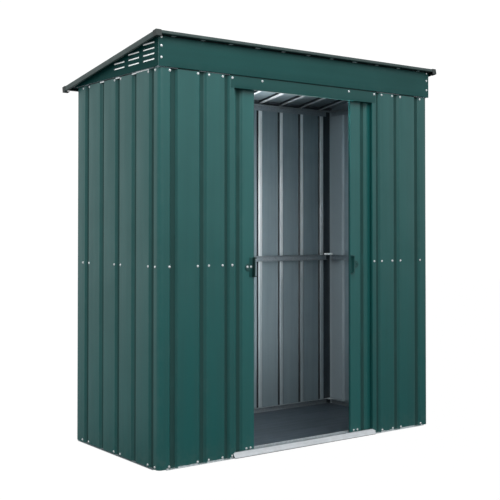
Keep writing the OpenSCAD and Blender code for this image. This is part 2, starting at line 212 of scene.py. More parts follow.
@dataclass(frozen=True)
class Bow:
    """Slight hollow or swell of a flat between its folds, held flat where screws pull it to a rail."""

    amount: float
    seed: int
    held: tuple[float, ...] = ()
    reach: float = 0.045

    def shift(self, weight: Array, flat: Array, along: Array) -> Array:
        """Shift = amount * size of the flat * sin across it * slow wave along it * (1 - bell at each rail).

        Args:
            weight: sin weight of each section point.
            flat: number of the flat that each section point is on.
            along: stations.

        Returns:
            Shift out of the sheet, for every station and section point.
        """
        rng = np.random.default_rng(self.seed)
        count = int(flat.max()) + 1
        size = rng.uniform(0.7, 1.0, count)
        phase = rng.uniform(0.0, math.tau, count)
        wave = 0.75 + 0.25 * np.sin(math.tau * along[:, None] / 0.8 + phase[flat][None, :])
        bells = [np.exp(-(((along - z) / self.reach) ** 2)) for z in self.held]
        free = 1.0 - np.clip(np.sum(bells, axis=0) if bells else np.zeros_like(along), 0.0, 1.0)
        return self.amount * (size[flat] * weight)[None, :] * wave * free[:, None]


@dataclass(frozen=True)
class Section:
    """A sheet's section: the corners of its outer face, the radius of each fold and its thickness."""

    corners: Array
    radii: Array
    thickness: float
    arc: int = 4
    spacing: float = 0.015
    most: int = 8
    ridge: float = 1.0

    def line(self) -> tuple[Array, Array, Array, Array]:
        """Outer line with round folds.

        Each fold is an arc tangent to both flats: it starts r * tan(turn / 2) before the corner, and its
        points are the start turned about the centre in equal steps. Flats are cut into equal lengths.

        Returns:
            Points, sin weight across the flats, number of the flat, and 1 at folds.
        """
        p, arc, most = self.corners, self.arc, self.most
        leg = p[1:] - p[:-1]
        length = np.hypot(leg[:, 0], leg[:, 1])
        d = leg / length[:, None]
        turn = np.arctan2(d[:-1, 0] * d[1:, 1] - d[:-1, 1] * d[1:, 0], (d[:-1] * d[1:]).sum(1))
        half = np.tan(np.abs(turn) / 2)
        reach = np.minimum(self.radii[1:-1] * half, 0.48 * np.minimum(length[:-1], length[1:]))
        radius = reach / np.maximum(half, 1e-9)
        start = p[1:-1] - reach[:, None] * d[:-1]
        to_centre = np.stack([-d[:-1, 1], d[:-1, 0]], 1) * (np.sign(turn) * radius)[:, None]
        centre, spoke = start + to_centre, -to_centre
        angle = turn[:, None] * np.linspace(0.0, 1.0, arc + 1)[None, :]
        c, s = np.cos(angle), np.sin(angle)
        arcs = centre[:, None, :] + np.stack(
            [c * spoke[:, :1] - s * spoke[:, 1:], s * spoke[:, :1] + c * spoke[:, 1:]], 2)
        arcs = np.concatenate([np.repeat(p[:1], arc + 1, 0)[None], arcs])
        first = arcs[:, -1]
        last = np.concatenate([start, p[-1:]])
        free = np.hypot(*(last - first).T)
        pieces = np.clip(np.ceil(free / self.spacing), 1, most)
        step = np.arange(1, most)
        u = np.clip(step[None, :] / pieces[:, None], 0.0, 1.0)
        flats = first[:, None, :] + u[:, :, None] * (last - first)[:, None, :]
        grid = np.concatenate([arcs, flats], 1)
        keep = np.ones(grid.shape[:2], bool)
        keep[:, arc + 1:] = step[None, :] < pieces[:, None]
        keep[0, 1:arc + 1] = False
        size = np.clip((free - 0.03) / 0.06, 0.0, 1.0)
        weight = np.zeros(grid.shape[:2])
        weight[:, arc + 1:] = np.sin(math.pi * u) * size[:, None]
        flat = np.repeat(np.arange(len(grid))[:, None], grid.shape[1], 1)
        fold = np.zeros(grid.shape[:2])
        fold[1:, :arc + 1] = 1.0
        return (np.concatenate([grid[keep], p[-1:]]), np.append(weight[keep], 0.0),
                np.append(flat[keep], len(grid) - 1), np.append(fold[keep], 0.0))

    def carried(self, bearings: Bearings, along: Array, bow: Bow | None = None) -> Skin:
        """Carries the sheet's section along a straight line.

        The inner line is the outer one moved by the thickness along the mitred normal; both make one closed
        loop, which is repeated at every station, and the ends are strips from the outer to the inner line.

        Args:
            bearings: place and directions of the section.
            along: stations, as distances along the run.
            bow: slight swell of the flats, or None.

        Returns:
            A closed skin that points outwards.
        """
        outer, weight, flat, fold = self.line()
        leg = outer[1:] - outer[:-1]
        leg /= np.hypot(leg[:, 0], leg[:, 1])[:, None]
        square = np.stack([-leg[:, 1], leg[:, 0]], 1)
        a = np.concatenate([square[:1], square])
        b = np.concatenate([square, square[-1:]])
        mitre = (a + b) / (1.0 + (a * b).sum(1))[:, None]
        loops = np.stack([outer, (outer + self.thickness * mitre)])[:, None].repeat(len(along), 1)
        if bow is not None:
            shift = bow.shift(weight, flat, along)
            loops = loops - math.copysign(1.0, self.thickness) * shift[None, :, :, None] * mitre
        loop = np.concatenate([loops[0], loops[1][:, ::-1]], 1)
        m, n = len(outer), 2 * len(outer)
        points = bearings.place(loop, along).reshape(-1, 3)
        i = np.arange(n)
        rows = np.arange(len(along) - 1)[:, None] * n
        sides = np.stack([rows + i, rows + (i + 1) % n, rows + n + (i + 1) % n, rows + n + i], 2).reshape(-1, 4)
        k = np.arange(m - 1)
        low = np.stack([k + 1, k, n - 1 - k, n - 2 - k], 1)
        high = low[:, ::-1] + (len(along) - 1) * n
        of_edge = np.where(i < m - 1, Face.OUTER.value, Face.INNER.value)
        of_edge[[m - 1, n - 1]] = Face.EDGE.value
        ends = np.full(2 * (m - 1), Face.EDGE.value)
        rise = np.clip(outer.min(axis=1) / self.ridge, 0.0, 1.0)
        return Skin(points, [np.concatenate([sides, low, high])],
                    [np.concatenate([np.tile(of_edge, len(along) - 1), ends])],
                    np.tile(np.concatenate([fold, fold[::-1]]), len(along)),
                    np.tile(np.concatenate([rise, rise[::-1]]), len(along))).outward()


@dataclass(frozen=True)
class Ribs:
    """Grooves of the rolled sheet and the laps where two sheets meet in one."""

    pitch: float = 0.162
    top: float = 0.044
    floor: float = 0.024
    depth: float = 0.012
    sheet: float = 0.0008
    lap_gap: float = 0.001
    mouth_radius: float = 0.004
    floor_radius: float = 0.013
    lap_radius: float = 0.0028

    def groove(self, c: float, depth: float | None = None) -> list[tuple[float, float, float]]:
        """Corners (distance, depth, radius) of a groove around c."""
        d = self.depth if depth is None else depth
        t, f = self.top / 2, self.floor / 2
        return [(c - t, 0, self.mouth_radius), (c - f, d, self.floor_radius),
                (c + f, d, self.floor_radius), (c + t, 0, self.mouth_radius)]

    def lap_start(self, c: float, under: bool, top: float = 0.0, floor: float = 0.0
                  ) -> list[tuple[float, float, float]]:
        """Corners of a sheet that starts on the floor of the groove around c."""
        d = self.depth + (self.sheet if under else 0.0)
        t, f = (top or self.top) / 2, (floor or self.floor) / 2
        return [(c - f + self.lap_gap, d, 0), (c + f, d, self.lap_radius), (c + t, 0, self.mouth_radius)]

    def lap_end(self, c: float, under: bool, top: float = 0.0, floor: float = 0.0
                ) -> list[tuple[float, float, float]]:
        """Corners of a sheet that ends on the floor of the groove around c."""
        start = self.lap_start(0.0, under, top, floor)
        return [(c - a, d, r) for a, d, r in reversed(start)]

    def sheet_section(self, corners: list[tuple[float, float, float]], arc: int = 4, depth: float | None = None
                      ) -> Section:
        """Section of a rolled sheet with those corners and grooves that deep."""
        table = np.array(corners, float)
        return Section(table[:, :2], table[:, 2], self.sheet, arc, ridge=depth or self.depth)


def plain_section(corners: list[tuple[float, float]], thickness: float, radius: float = 0.0015,
                  arc: int = 3) -> Section:
    """Section with the same radius at every fold, and its flats left whole."""
    return Section(np.array(corners, float), np.full(len(corners), radius), thickness, arc, spacing=0.05, most=4)


def prism(outline: list[tuple[float, float]], bearings: Bearings, low: float, high: float) -> Skin:
    """Convex outline carried from low to high along the run, with flat ends.

    Args:
        outline: corners as distance and depth.
        bearings: place and directions of the outline.
        low: first station.
        high: last station.

    Returns:
        A closed skin that points outwards.
    """
    n = len(outline)
    points = bearings.place(np.array(outline, float)[None], np.array([low, high])).reshape(-1, 3)
    i = np.arange(n)
    sides = np.stack([i, (i + 1) % n, n + (i + 1) % n, n + i], 1)
    ends = np.stack([i[::-1], n + i])
    none = np.zeros(2 * n)
    return Skin(points, [sides, ends], [np.zeros(n, int), np.zeros(2, int)], none, none).outward()


@dataclass(frozen=True)
class ScrewHead:
    """Self-tapping screw with a pan head, a crossed recess and a plastic washer."""

    washer_r: float = 0.0062
    washer_t: float = 0.0010
    head_r: float = 0.0046
    head_t: float = 0.0026
    recess_r: float = 0.0026
    recess_d: float = 0.0012
    segments: int = 12

    def skin(self, places: Array, outward: Array, seed: int) -> Skin:
        """Screws at many places.

        Ring k is r_k * (cos w, sin w) at height h_k; in the recess r_k is also multiplied by
        0.35 + 0.65 * cos^2(2 w), which draws a cross. Each screw is turned about its own axis.

        Args:
            places: points on the face that the washers lie on.
            outward: unit normal of that face, at each point.
            seed: seed for how far each screw was turned.

        Returns:
            One skin of all of them, with washers as finish 0 and heads as finish 1.
        """
        w = np.arange(self.segments) * math.tau / self.segments
        cross = 0.35 + 0.65 * np.cos(2 * w) ** 2
        one = np.ones_like(w)
        top = self.washer_t + self.head_t
        rings = [(self.washer_r * one, -0.0002), (self.washer_r * 0.95 * one, self.washer_t),
                 (self.head_r * one, self.washer_t), (self.head_r * 0.90 * one, top * 0.80),
                 (self.recess_r * cross, top), (self.recess_r * 0.6 * cross, top - self.recess_d)]
        radius = np.array([r for r, _ in rings])
        height = np.array([h for _, h in rings])
        turn = np.random.default_rng(seed).uniform(0, math.tau, len(places))
        angle = w[None, :] + turn[:, None]
        side = np.where(np.abs(outward[:, 2:3]) < 0.7, np.array([[0.0, 0.0, 1.0]]), np.array([[1.0, 0.0, 0.0]]))
        e1 = np.cross(outward, side)
        e1 /= np.linalg.norm(e1, axis=1)[:, None]
        e2 = np.cross(outward, e1)
        spokes = np.cos(angle)[:, :, None] * e1[:, None, :] + np.sin(angle)[:, :, None] * e2[:, None, :]
        points = (places[:, None, None, :] + radius[None, :, :, None] * spokes[:, None]
                  + height[None, :, None, None] * outward[:, None, None, :]).reshape(-1, 3)
        count, n, k = len(places), self.segments, len(rings)
        i = np.arange(n)
        j = np.arange(k - 1)[:, None] * n
        band = np.stack([j + i, j + (i + 1) % n, j + n + (i + 1) % n, j + n + i], 2).reshape(-1, 4)
        start = (np.arange(count) * n * k)[:, None, None]
        bands = (band[None] + start).reshape(-1, 4)
        caps = (np.stack([i[::-1], i + (k - 1) * n])[None] + start).reshape(-1, n)
        band_finish = np.tile(np.repeat([0, 0, 1, 1, 1], n), count)
        none = np.zeros(len(points))
        return Skin(points, [bands, caps], [band_finish, np.tile([0, 1], count)], none, none).outward()


# ---------------------------------------------------------------- finishes

class Nodes:
    """Adds and links the nodes of one material or group."""

    def __init__(self, tree: bpy.types.NodeTree) -> None:
        """Keeps the node tree."""
        self.tree = tree

    def add(self, kind: str, values: dict | None = None, **settings) -> bpy.types.Node:
        """Adds a node.

        Args:
            kind: type of the node, without its ShaderNode prefix.
            values: inputs by name or number; a socket is linked, anything else is set.
            settings: properties of the node.

        Returns:
            The node.
        """
        node = self.tree.nodes.new("ShaderNode" + kind)
        for key, value in settings.items():
            setattr(node, key, value)
        for key, value in (values or {}).items():
            if isinstance(value, bpy.types.NodeSocket):
                self.tree.links.new(value, node.inputs[key])
            else:
                node.inputs[key].default_value = value
        return node

    def math(self, operation: str, a: Value, b: Value = 0.0, clamp: bool = False) -> bpy.types.NodeSocket:
        """Output of a math node on a and b."""
        return self.add("Math", {0: a, 1: b}, operation=operation, use_clamp=clamp).outputs[0]

    def blend(self, factor: Value, a: Colour, b: Colour) -> bpy.types.NodeSocket:
        """Colour a where the factor is 0 and colour b where it is 1."""
        node = self.add("Mix", {0: factor}, data_type="RGBA")
        for slot, value in ((6, a), (7, b)):
            if isinstance(value, bpy.types.NodeSocket):
                self.tree.links.new(value, node.inputs[slot])
            else:
                node.inputs[slot].default_value = value
        return node.outputs[2]

    def remap(self, value: Value, low: float, high: float, to_low: float = 0.0, to_high: float = 1.0
              ) -> bpy.types.NodeSocket:
        """Value carried from the range low..high to the range to_low..to_high, smoothly and clamped."""
        return self.add("MapRange", {"Value": value, "From Min": low, "From Max": high,
                                     "To Min": to_low, "To Max": to_high},
                        interpolation_type="SMOOTHSTEP").outputs["Result"]

    def object_point(self) -> bpy.types.NodeSocket:
        """Object coordinates."""
        return self.add("TexCoord").outputs["Object"]


def new_group(name: str, inputs: dict[str, tuple[str, object]], outputs: dict[str, str]
              ) -> tuple[bpy.types.NodeTree, Nodes, bpy.types.Node, bpy.types.Node]:
    """Makes an empty shader group with named sockets.

    Args:
        name: name of the group.
        inputs: socket kind and value of each input.
        outputs: socket kind of each output.

    Returns:
        The tree, its node helper, its input node and its output node.
    """
    tree = bpy.data.node_groups.new(name, "ShaderNodeTree")
    for label, (kind, value) in inputs.items():
        tree.interface.new_socket(label, in_out="INPUT", socket_type="NodeSocket" + kind).default_value = value
    for label, kind in outputs.items():
        tree.interface.new_socket(label, in_out="OUTPUT", socket_type="NodeSocket" + kind)
    return tree, Nodes(tree), tree.nodes.new("NodeGroupInput"), tree.nodes.new("NodeGroupOutput")


class Effects:
    """Shader groups that several finishes share."""

    def __init__(self) -> None:
        """Builds each group once."""
        self.coat = self._coat()
        self.dust = self._dust()
        self.wear = self._wear()
        self.spangle = self._spangle()
        self.ridges = self._ridges()

    @staticmethod
    def _coat() -> bpy.types.NodeTree:
        """Rolled coat: long streaks along the sheet, cloudy tone, and the fine texture of baked paint."""
        tree, n, given, out = new_group(
            "Rolled coat",
            {"Color": ("Color", (0.5, 0.5, 0.5, 1)), "Shade": ("Color", (0.4, 0.4, 0.4, 1)),
             "Stretch": ("Vector", (30.0, 30.0, 1.2)), "Gloss": ("Float", 0.4), "Gloss spread": ("Float", 0.1),
             "Grain": ("Float", 700.0)},
            {"Color": "Color", "Roughness": "Float", "Height": "Float"})
        point = n.object_point()
        stretched = n.add("VectorMath", {0: point, 1: given.outputs["Stretch"]}, operation="MULTIPLY").outputs[0]
        streak = n.add("TexNoise", {"Vector": stretched, "Scale": 1.0, "Detail": 3.0, "Roughness": 0.6}).outputs[0]
        cloud = n.add("TexNoise", {"Vector": point, "Scale": 4.0, "Detail": 4.0, "Roughness": 0.55}).outputs[0]
        grain = n.add("TexNoise", {"Vector": point, "Scale": given.outputs["Grain"], "Detail": 1.0}).outputs[0]
        tone = n.remap(n.math("ADD", n.math("MULTIPLY", streak, 0.55), n.math("MULTIPLY", cloud, 0.45)), 0.32, 0.68)
        n.tree.links.new(n.blend(tone, given.outputs["Color"], given.outputs["Shade"]), out.inputs["Color"])
        swing = n.math("MULTIPLY", n.math("SUBTRACT", tone, 0.5), given.outputs["Gloss spread"])
        n.tree.links.new(n.math("ADD", swing, given.outputs["Gloss"]), out.inputs["Roughness"])
        n.tree.links.new(n.math("ADD", n.math("MULTIPLY", grain, 0.5), n.math("MULTIPLY", streak, 0.5)),
                         out.inputs["Height"])
        return tree

    @staticmethod
    def _dust() -> bpy.types.NodeTree:
        """Dust that settles near the ground: 1 at the foot, uneven, gone above the reach."""
        tree, n, given, out = new_group(
            "Settled dust",
            {"Color": ("Color", (0.5, 0.5, 0.5, 1)), "Dust": ("Color", (0.30, 0.29, 0.26, 1)),
             "Amount": ("Float", 0.4), "Reach": ("Float", 0.14)},
            {"Color": "Color", "Mask": "Float"})
        point = n.object_point()
        height = n.add("SeparateXYZ", {0: point}).outputs["Z"]
        low = n.math("SUBTRACT", 1.0, n.math("DIVIDE", height, given.outputs["Reach"]), clamp=True)
        specks = n.add("TexNoise", {"Vector": point, "Scale": 38.0, "Detail": 5.0, "Roughness": 0.7}).outputs[0]
        patchy = n.math("MULTIPLY", n.math("POWER", low, 1.6), n.remap(specks, 0.35, 0.7))
        mask = n.math("MULTIPLY", patchy, given.outputs["Amount"], clamp=True)
        n.tree.links.new(n.blend(mask, given.outputs["Color"], given.outputs["Dust"]), out.inputs["Color"])
        n.tree.links.new(mask, out.inputs["Mask"])
        return tree

    @staticmethod
    def _wear() -> bpy.types.NodeTree:
        """Rubbed folds: a lighter coat where the fold attribute is 1, broken up by noise."""
        tree, n, given, out = new_group(
            "Rubbed folds",
            {"Color": ("Color", (0.5, 0.5, 0.5, 1)), "Rubbed": ("Color", (0.6, 0.6, 0.6, 1)),
             "Amount": ("Float", 0.4)},
            {"Color": "Color"})
        fold = n.add("Attribute", attribute_name="fold").outputs["Fac"]
        rough = n.add("TexNoise", {"Vector": n.object_point(), "Scale": 14.0, "Detail": 6.0,
                                   "Roughness": 0.75}).outputs[0]
        mask = n.math("MULTIPLY", n.math("MULTIPLY", fold, n.remap(rough, 0.4, 0.75)),
                      given.outputs["Amount"], clamp=True)
        n.tree.links.new(n.blend(mask, given.outputs["Color"], given.outputs["Rubbed"]), out.inputs["Color"])
        return tree

    @staticmethod
    def _spangle() -> bpy.types.NodeTree:
        """Zinc crystals: each cell of a Voronoi pattern has its own tone and gloss."""
        tree, n, given, out = new_group(
            "Zinc spangle",
            {"Light": ("Color", (0.7, 0.7, 0.7, 1)), "Dark": ("Color", (0.5, 0.5, 0.5, 1)),
             "Size": ("Float", 160.0), "Gloss": ("Float", 0.4)},
            {"Color": "Color", "Roughness": "Float", "Height": "Float"})
        point = n.object_point()
        cells = n.add("TexVoronoi", {"Vector": point, "Scale": given.outputs["Size"]})
        tone = n.add("SeparateColor", {0: cells.outputs["Color"]}).outputs[0]
        cloud = n.add("TexNoise", {"Vector": point, "Scale": 9.0, "Detail": 4.0}).outputs[0]
        mixed = n.math("ADD", n.math("MULTIPLY", tone, 0.6), n.math("MULTIPLY", cloud, 0.5), clamp=True)
        n.tree.links.new(n.blend(mixed, given.outputs["Light"], given.outputs["Dark"]), out.inputs["Color"])
        swing = n.math("MULTIPLY", n.math("SUBTRACT", tone, 0.5), 0.16)
        n.tree.links.new(n.math("ADD", swing, given.outputs["Gloss"]), out.inputs["Roughness"])
        n.tree.links.new(tone, out.inputs["Height"])
        return tree

    @staticmethod
    def _ridges() -> bpy.types.NodeTree:
        """Painted light and shade in the rolled grooves: a tone along their crests, a painted highlight where it is
        light and painted shade where it is dark, which may fade towards the ground, and painted shade on their
        flanks.
        """
        tree, n, given, out = new_group(
            "Painted groove light and shade",
            {"Color": ("Color", (0.5, 0.5, 0.5, 1)), "Top": ("Color", (0.8, 0.8, 0.8, 1)),
             "Flank": ("Color", (0.05, 0.05, 0.05, 1)), "Top amount": ("Float", 1.0),
             "Flank amount": ("Float", 1.0), "Foot fade": ("Float", 0.8)},
            {"Color": "Color", "Crest": "Float"})
        rise = n.add("Attribute", attribute_name="rise").outputs["Fac"]
        rough = n.add("TexNoise", {"Vector": n.object_point(), "Scale": 7.0, "Detail": 3.0}).outputs[0]
        height = n.add("SeparateXYZ", {0: n.object_point()}).outputs["Z"]
        fade = n.math("MULTIPLY", n.remap(height, 0.55, 1.35, 1.0, 0.05), given.outputs["Foot fade"])
        # Strength of the painted crest tone: broken up by noise, and weaker near the ground when the foot fade is
        # set.
        rubbed = n.math("MULTIPLY", n.remap(rough, 0.2, 0.5, 0.75, 1.0), n.math("SUBTRACT", 1.0, fade))
        top = n.math("MULTIPLY", n.remap(rise, 0.86, 0.98), rubbed)
        # Painted shade on the flanks of the grooves.
        flank = n.math("MULTIPLY", n.remap(rise, 0.0, 0.12), n.remap(rise, 0.95, 0.75))
        dark = n.blend(n.math("MULTIPLY", flank, given.outputs["Flank amount"]), given.outputs["Color"],
                       given.outputs["Flank"])
        mask = n.math("MULTIPLY", top, given.outputs["Top amount"])
        n.tree.links.new(n.blend(mask, dark, given.outputs["Top"]), out.inputs["Color"])
        n.tree.links.new(mask, out.inputs["Crest"])
        return tree


EFFECTS = Effects()


def tint(hexcode: str) -> Rgba:
    """Linear colour of a hex code: c / 12.92 below 0.04045, else ((c + 0.055) / 1.055) ^ 2.4."""
    c = np.array([int(hexcode[i:i + 2], 16) for i in (0, 2, 4)]) / 255
    linear = np.where(c <= 0.04045, c / 12.92, ((c + 0.055) / 1.055) ** 2.4)
    return (*linear.tolist(), 1.0)


@dataclass(frozen=True)
class CoatFinish:
    """Coat, plastic or plain metal with streaks, grain, rubbed folds and some dust at its foot."""

    name: str
    colour: str
    shade: str
    gloss: float = 0.38
    spread: float = 0.10
    stretch: Triple = (30.0, 30.0, 1.2)
    grain: float = 700.0
    relief: float = 0.06
    rubbed: str = "8A9A98"
    rubbing: float = 0.04
    dust: float = 0.10
    metallic: float = 0.0
    specular: float = 0.5
    glow: float = 0.0

    def material(self) -> bpy.types.Material:
        """Builds the material, or returns it if it is there already."""
        if self.name in bpy.data.materials:
            return bpy.data.materials[self.name]
        made = bpy.data.materials.new(self.name)
        made.use_nodes = True
        n = Nodes(made.node_tree)
        shader = made.node_tree.nodes["Principled BSDF"]
        shader.inputs["Metallic"].default_value = self.metallic
        shader.inputs["Specular IOR Level"].default_value = self.specular
        shader.inputs["Emission Color"].default_value = tint(self.colour)
        # A glow above 0 is painted light: the part shines though it is no lamp.
        shader.inputs["Emission Strength"].default_value = self.glow
        self.dress(n, shader)
        return made

    def dress(self, n: Nodes, shader: bpy.types.Node) -> None:
        """Feeds the shader's colour, roughness and normal."""
        coat = n.add("Group", node_tree=EFFECTS.coat)
        for label, value in (("Color", tint(self.colour)), ("Shade", tint(self.shade)), ("Stretch", self.stretch),
                             ("Gloss", self.gloss), ("Gloss spread", self.spread), ("Grain", self.grain)):
            coat.inputs[label].default_value = value
        wear = n.add("Group", {"Color": coat.outputs["Color"], "Rubbed": tint(self.rubbed),
                               "Amount": self.rubbing}, node_tree=EFFECTS.wear)
        dust = n.add("Group", {"Color": wear.outputs["Color"], "Amount": self.dust}, node_tree=EFFECTS.dust)
        bump = n.add("Bump", {"Height": coat.outputs["Height"], "Strength": self.relief, "Distance": 0.0006})
        duller = n.math("ADD", coat.outputs["Roughness"], n.math("MULTIPLY", dust.outputs["Mask"], 0.35), clamp=True)
        n.tree.links.new(dust.outputs["Color"], shader.inputs["Base Color"])
        n.tree.links.new(duller, shader.inputs["Roughness"])
        n.tree.links.new(bump.outputs["Normal"], shader.inputs["Normal"])


@dataclass(frozen=True)
class GrooveShadingFinish(CoatFinish):
    """Coat with painted light and shade in its grooves: a light crest colour paints a highlight along the crests and
    a dark one paints shade there, and the flank colour paints shade on the flanks.
    """

    # Crest: painted highlight when light, painted shade when dark. Flank: painted shade.
    crest: str = "F2F6F8"
    crest_paint_amount: float = 0.95
    flank: str = "0A0E12"
    flank_amount: float = 0.95
    dulling: float = 0.0
    foot_fade: float = 0.0

    def dress(self, n: Nodes, shader: bpy.types.Node) -> None:
        """Feeds the shader, with the grooves' painted light and shade over the coat's colour."""
        super().dress(n, shader)
        under = shader.inputs["Base Color"].links[0].from_socket
        ridges = n.add("Group", {"Color": under, "Top": tint(self.crest), "Flank": tint(self.flank),
                                 "Top amount": self.crest_paint_amount, "Flank amount": self.flank_amount,
                                 "Foot fade": self.foot_fade},
                       node_tree=EFFECTS.ridges)
        rough = shader.inputs["Roughness"].links[0].from_socket
        dulled = n.math("ADD", rough, n.math("MULTIPLY", ridges.outputs["Crest"], self.dulling), clamp=True)
        n.tree.links.new(ridges.outputs["Color"], shader.inputs["Base Color"])
        n.tree.links.new(dulled, shader.inputs["Roughness"])


@dataclass(frozen=True)
class SplitFinish(CoatFinish):
    """A coat beyond a distance from the middle along one axis, and a plain colour up to it."""

    axis: str = "X"
    split: float = 0.8914
    other: str = "A6B3B9"

    def dress(self, n: Nodes, shader: bpy.types.Node) -> None:
        """Feeds the shader, with the other colour mixed in up to the split."""
        super().dress(n, shader)
        beyond = shader.inputs["Base Color"].links[0].from_socket
        way = n.add("SeparateXYZ", {0: n.object_point()}).outputs[self.axis]
        mask = n.math("GREATER_THAN", n.math("ABSOLUTE", way), self.split)
        n.tree.links.new(n.blend(mask, tint(self.other), beyond), shader.inputs["Base Color"])


@dataclass(frozen=True)
class ZincFinish:
    """Hot-dip zinc on folded steel."""

    name: str
    light: str
    dark: str
    size: float = 160.0
    gloss: float = 0.42
    metallic: float = 0.85

    def material(self) -> bpy.types.Material:
        """Builds the material, or returns it if it is there already."""
        if self.name in bpy.data.materials:
            return bpy.data.materials[self.name]
        made = bpy.data.materials.new(self.name)
        made.use_nodes = True
        n = Nodes(made.node_tree)
        shader = made.node_tree.nodes["Principled BSDF"]
        shader.inputs["Metallic"].default_value = self.metallic
        zinc = n.add("Group", {"Light": tint(self.light), "Dark": tint(self.dark), "Size": self.size,
                               "Gloss": self.gloss}, node_tree=EFFECTS.spangle)
        dust = n.add("Group", {"Color": zinc.outputs["Color"], "Amount": 0.3}, node_tree=EFFECTS.dust)
        bump = n.add("Bump", {"Height": zinc.outputs["Height"], "Strength": 0.08, "Distance": 0.0004})
        n.tree.links.new(dust.outputs["Color"], shader.inputs["Base Color"])
        n.tree.links.new(zinc.outputs["Roughness"], shader.inputs["Roughness"])
        n.tree.links.new(bump.outputs["Normal"], shader.inputs["Normal"])
        return made


ALONG_FRONT = (1.1, 34.0, 34.0)
DOWN_ROOF = (34.0, 1.1, 34.0)
LEAF, LEAF_SHADE = "165A58", "145452"
# Wall coat: its groove floors are darkened with the crest colour, as painted shade in the grooves.
GREEN = GrooveShadingFinish("Green wall coat", LEAF, LEAF_SHADE, gloss=0.38, crest="0A3835", crest_paint_amount=0.8,
                     flank_amount=0.0, dulling=0.5)
# Door coat: lighter than the wall coat, as painted light, with the same painted shade in its grooves.
GREEN_DOOR_LIT = GrooveShadingFinish("Green door coat", "1B615F", "195B59", gloss=0.38, crest="0A3835", crest_paint_amount=0.8,
                          flank_amount=0.0, dulling=0.5)
GREEN_ROOF = CoatFinish("Green roof coat", LEAF, LEAF_SHADE, gloss=0.38, stretch=DOWN_ROOF, dust=0.0)
# Header and fascia coats: the wall green darkened, as painted shade.
GREEN_LEVEL_SHADED = CoatFinish("Green header coat, painted shade", "124B49", "104644", gloss=0.42, stretch=ALONG_FRONT, dust=0.0,
                         specular=0.3)
GREEN_BOARD_SHADED = CoatFinish("Green fascia coat, painted shade", "124B49", "114644", gloss=0.46, stretch=ALONG_FRONT, dust=0.0,
                         specular=0.22)
BACKER = CoatFinish("Zinc backing coat", "A6B3B9", "9AA8AE", gloss=0.42, rubbing=0.0, dust=0.1, metallic=0.55)
# Inner crests carry a painted highlight that fades towards the ground, and the flanks painted shade.
RIDGED = GrooveShadingFinish("Rubbed backing coat", "8FA0A7", "83959C", gloss=0.42, rubbing=0.0, dust=0.1,
                      metallic=0.55, foot_fade=0.8)
TRIM = CoatFinish("Roof trim coat", "233C3A", "1F3634", gloss=0.42, stretch=DOWN_ROOF, rubbing=0.1, dust=0.0)
CAP = CoatFinish("Corner cap plastic", "24302F", "1E2928", gloss=0.5, grain=1100.0, relief=0.15, dust=0.0)
# Front filler: dark, as painted shade under the front trim; the back filler is the grey foam.
FOAM_SHADED = CoatFinish("Foam filler, painted shade", "20262A", "1A2024", gloss=0.9, grain=500.0, relief=0.5, dust=0.0)
FOAM_BACK = CoatFinish("Grey foam filler", "565C61", "4A5055", gloss=0.9, grain=500.0, relief=0.5, dust=0.0)
NYLON = CoatFinish("White nylon", "D4D4CE", "C4C4BE", gloss=0.5, grain=900.0, relief=0.1, dust=0.3)
# Dark tape: painted shadow lines under the gables and fascia, at the feet of the side walls and under the ramp's toe.
SHADOW_TAPE = CoatFinish("Painted shadow tape", "0C1A1A", "0A1515", gloss=0.7, rubbing=0.0, dust=0.0)
ALUMINIUM = CoatFinish("Mill aluminium", "CDD2D6", "BEC4C9", gloss=0.36, stretch=(2.0, 160.0, 160.0),
                       rubbing=0.0, dust=0.2, metallic=0.75)
FLOOR = CoatFinish("Floor sheet coat", "384651", "2F3B46", gloss=0.42, stretch=(1.4, 30.0, 30.0),
                   rubbing=0.0, dust=0.15)
ZINC = ZincFinish("Zinc coat", "9AA5AB", "828D94", metallic=0.5)
WORN = ZincFinish("Worn zinc", "D8E0E3", "B9C3C8", metallic=0.4)
BRIGHT = ZincFinish("Bright zinc", "F2F6F7", "DCE3E5", size=240.0, gloss=0.30, metallic=0.35)

# Left handle: its proud bar darker than the plate, as painted shade.
GRIP_SHADED = SplitFinish("Handle plastic", "0F3432", "0D2E2C", gloss=0.45, grain=1100.0, relief=0.2, dust=0.0, axis="Y",
                   split=0.4224, other="134A48")
# Gable coat: the wall green darkened, as painted shade under the roof's overhang.
GABLE_SHADED = SplitFinish("Green gable coat, painted shade", "0C3F3D", "0B3A38", gloss=0.5, stretch=(1.1, 1.1, 34.0), dust=0.0,
                    specular=0.05)
# Inner face of the corner posts darkened beyond the split, as painted shade in the corners.
CORNER_SHADE = SplitFinish("Corner backing coat", "363F45", "2E373D", gloss=0.6, rubbing=0.0, specular=0.2, axis="Y",
                     split=0.3795)
GRIP_FAR = CoatFinish("Green handle plastic", "144C4A", "124745", gloss=0.45, grain=1100.0, relief=0.2, dust=0.0)
SCREW_CAP = CoatFinish("Green screw cap", "1C5854", "194E4B", gloss=0.45, dust=0.0)
# The glow is painted light: the lips shine though they are no lamp.
LOUVRE_GLOWING = CoatFinish("White louvre lip, painted glow", "FBFDFD", "F2F6F6", gloss=0.5, rubbing=0.0, dust=0.0, glow=0.3)

GREEN_SHEET = [GREEN, BACKER, BACKER]
CORNER_SHEET = [GREEN, CORNER_SHADE, BACKER]
DOOR_SHEET = [GREEN_DOOR_LIT, BACKER, BACKER]
BACK_SHEET = [GREEN, RIDGED, BACKER]
ROOF_SHEET = [GREEN_ROOF, RIDGED, BACKER]
LEVEL_SHEET = [GREEN_LEVEL_SHADED, BACKER, BACKER]
BOARD_SHEET = [GREEN_BOARD_SHADED, BACKER, BACKER]


def materials(finishes: list[CoatFinish | ZincFinish]) -> list[bpy.types.Material]:
    """Materials of those finishes."""
    return [finish.material() for finish in finishes]


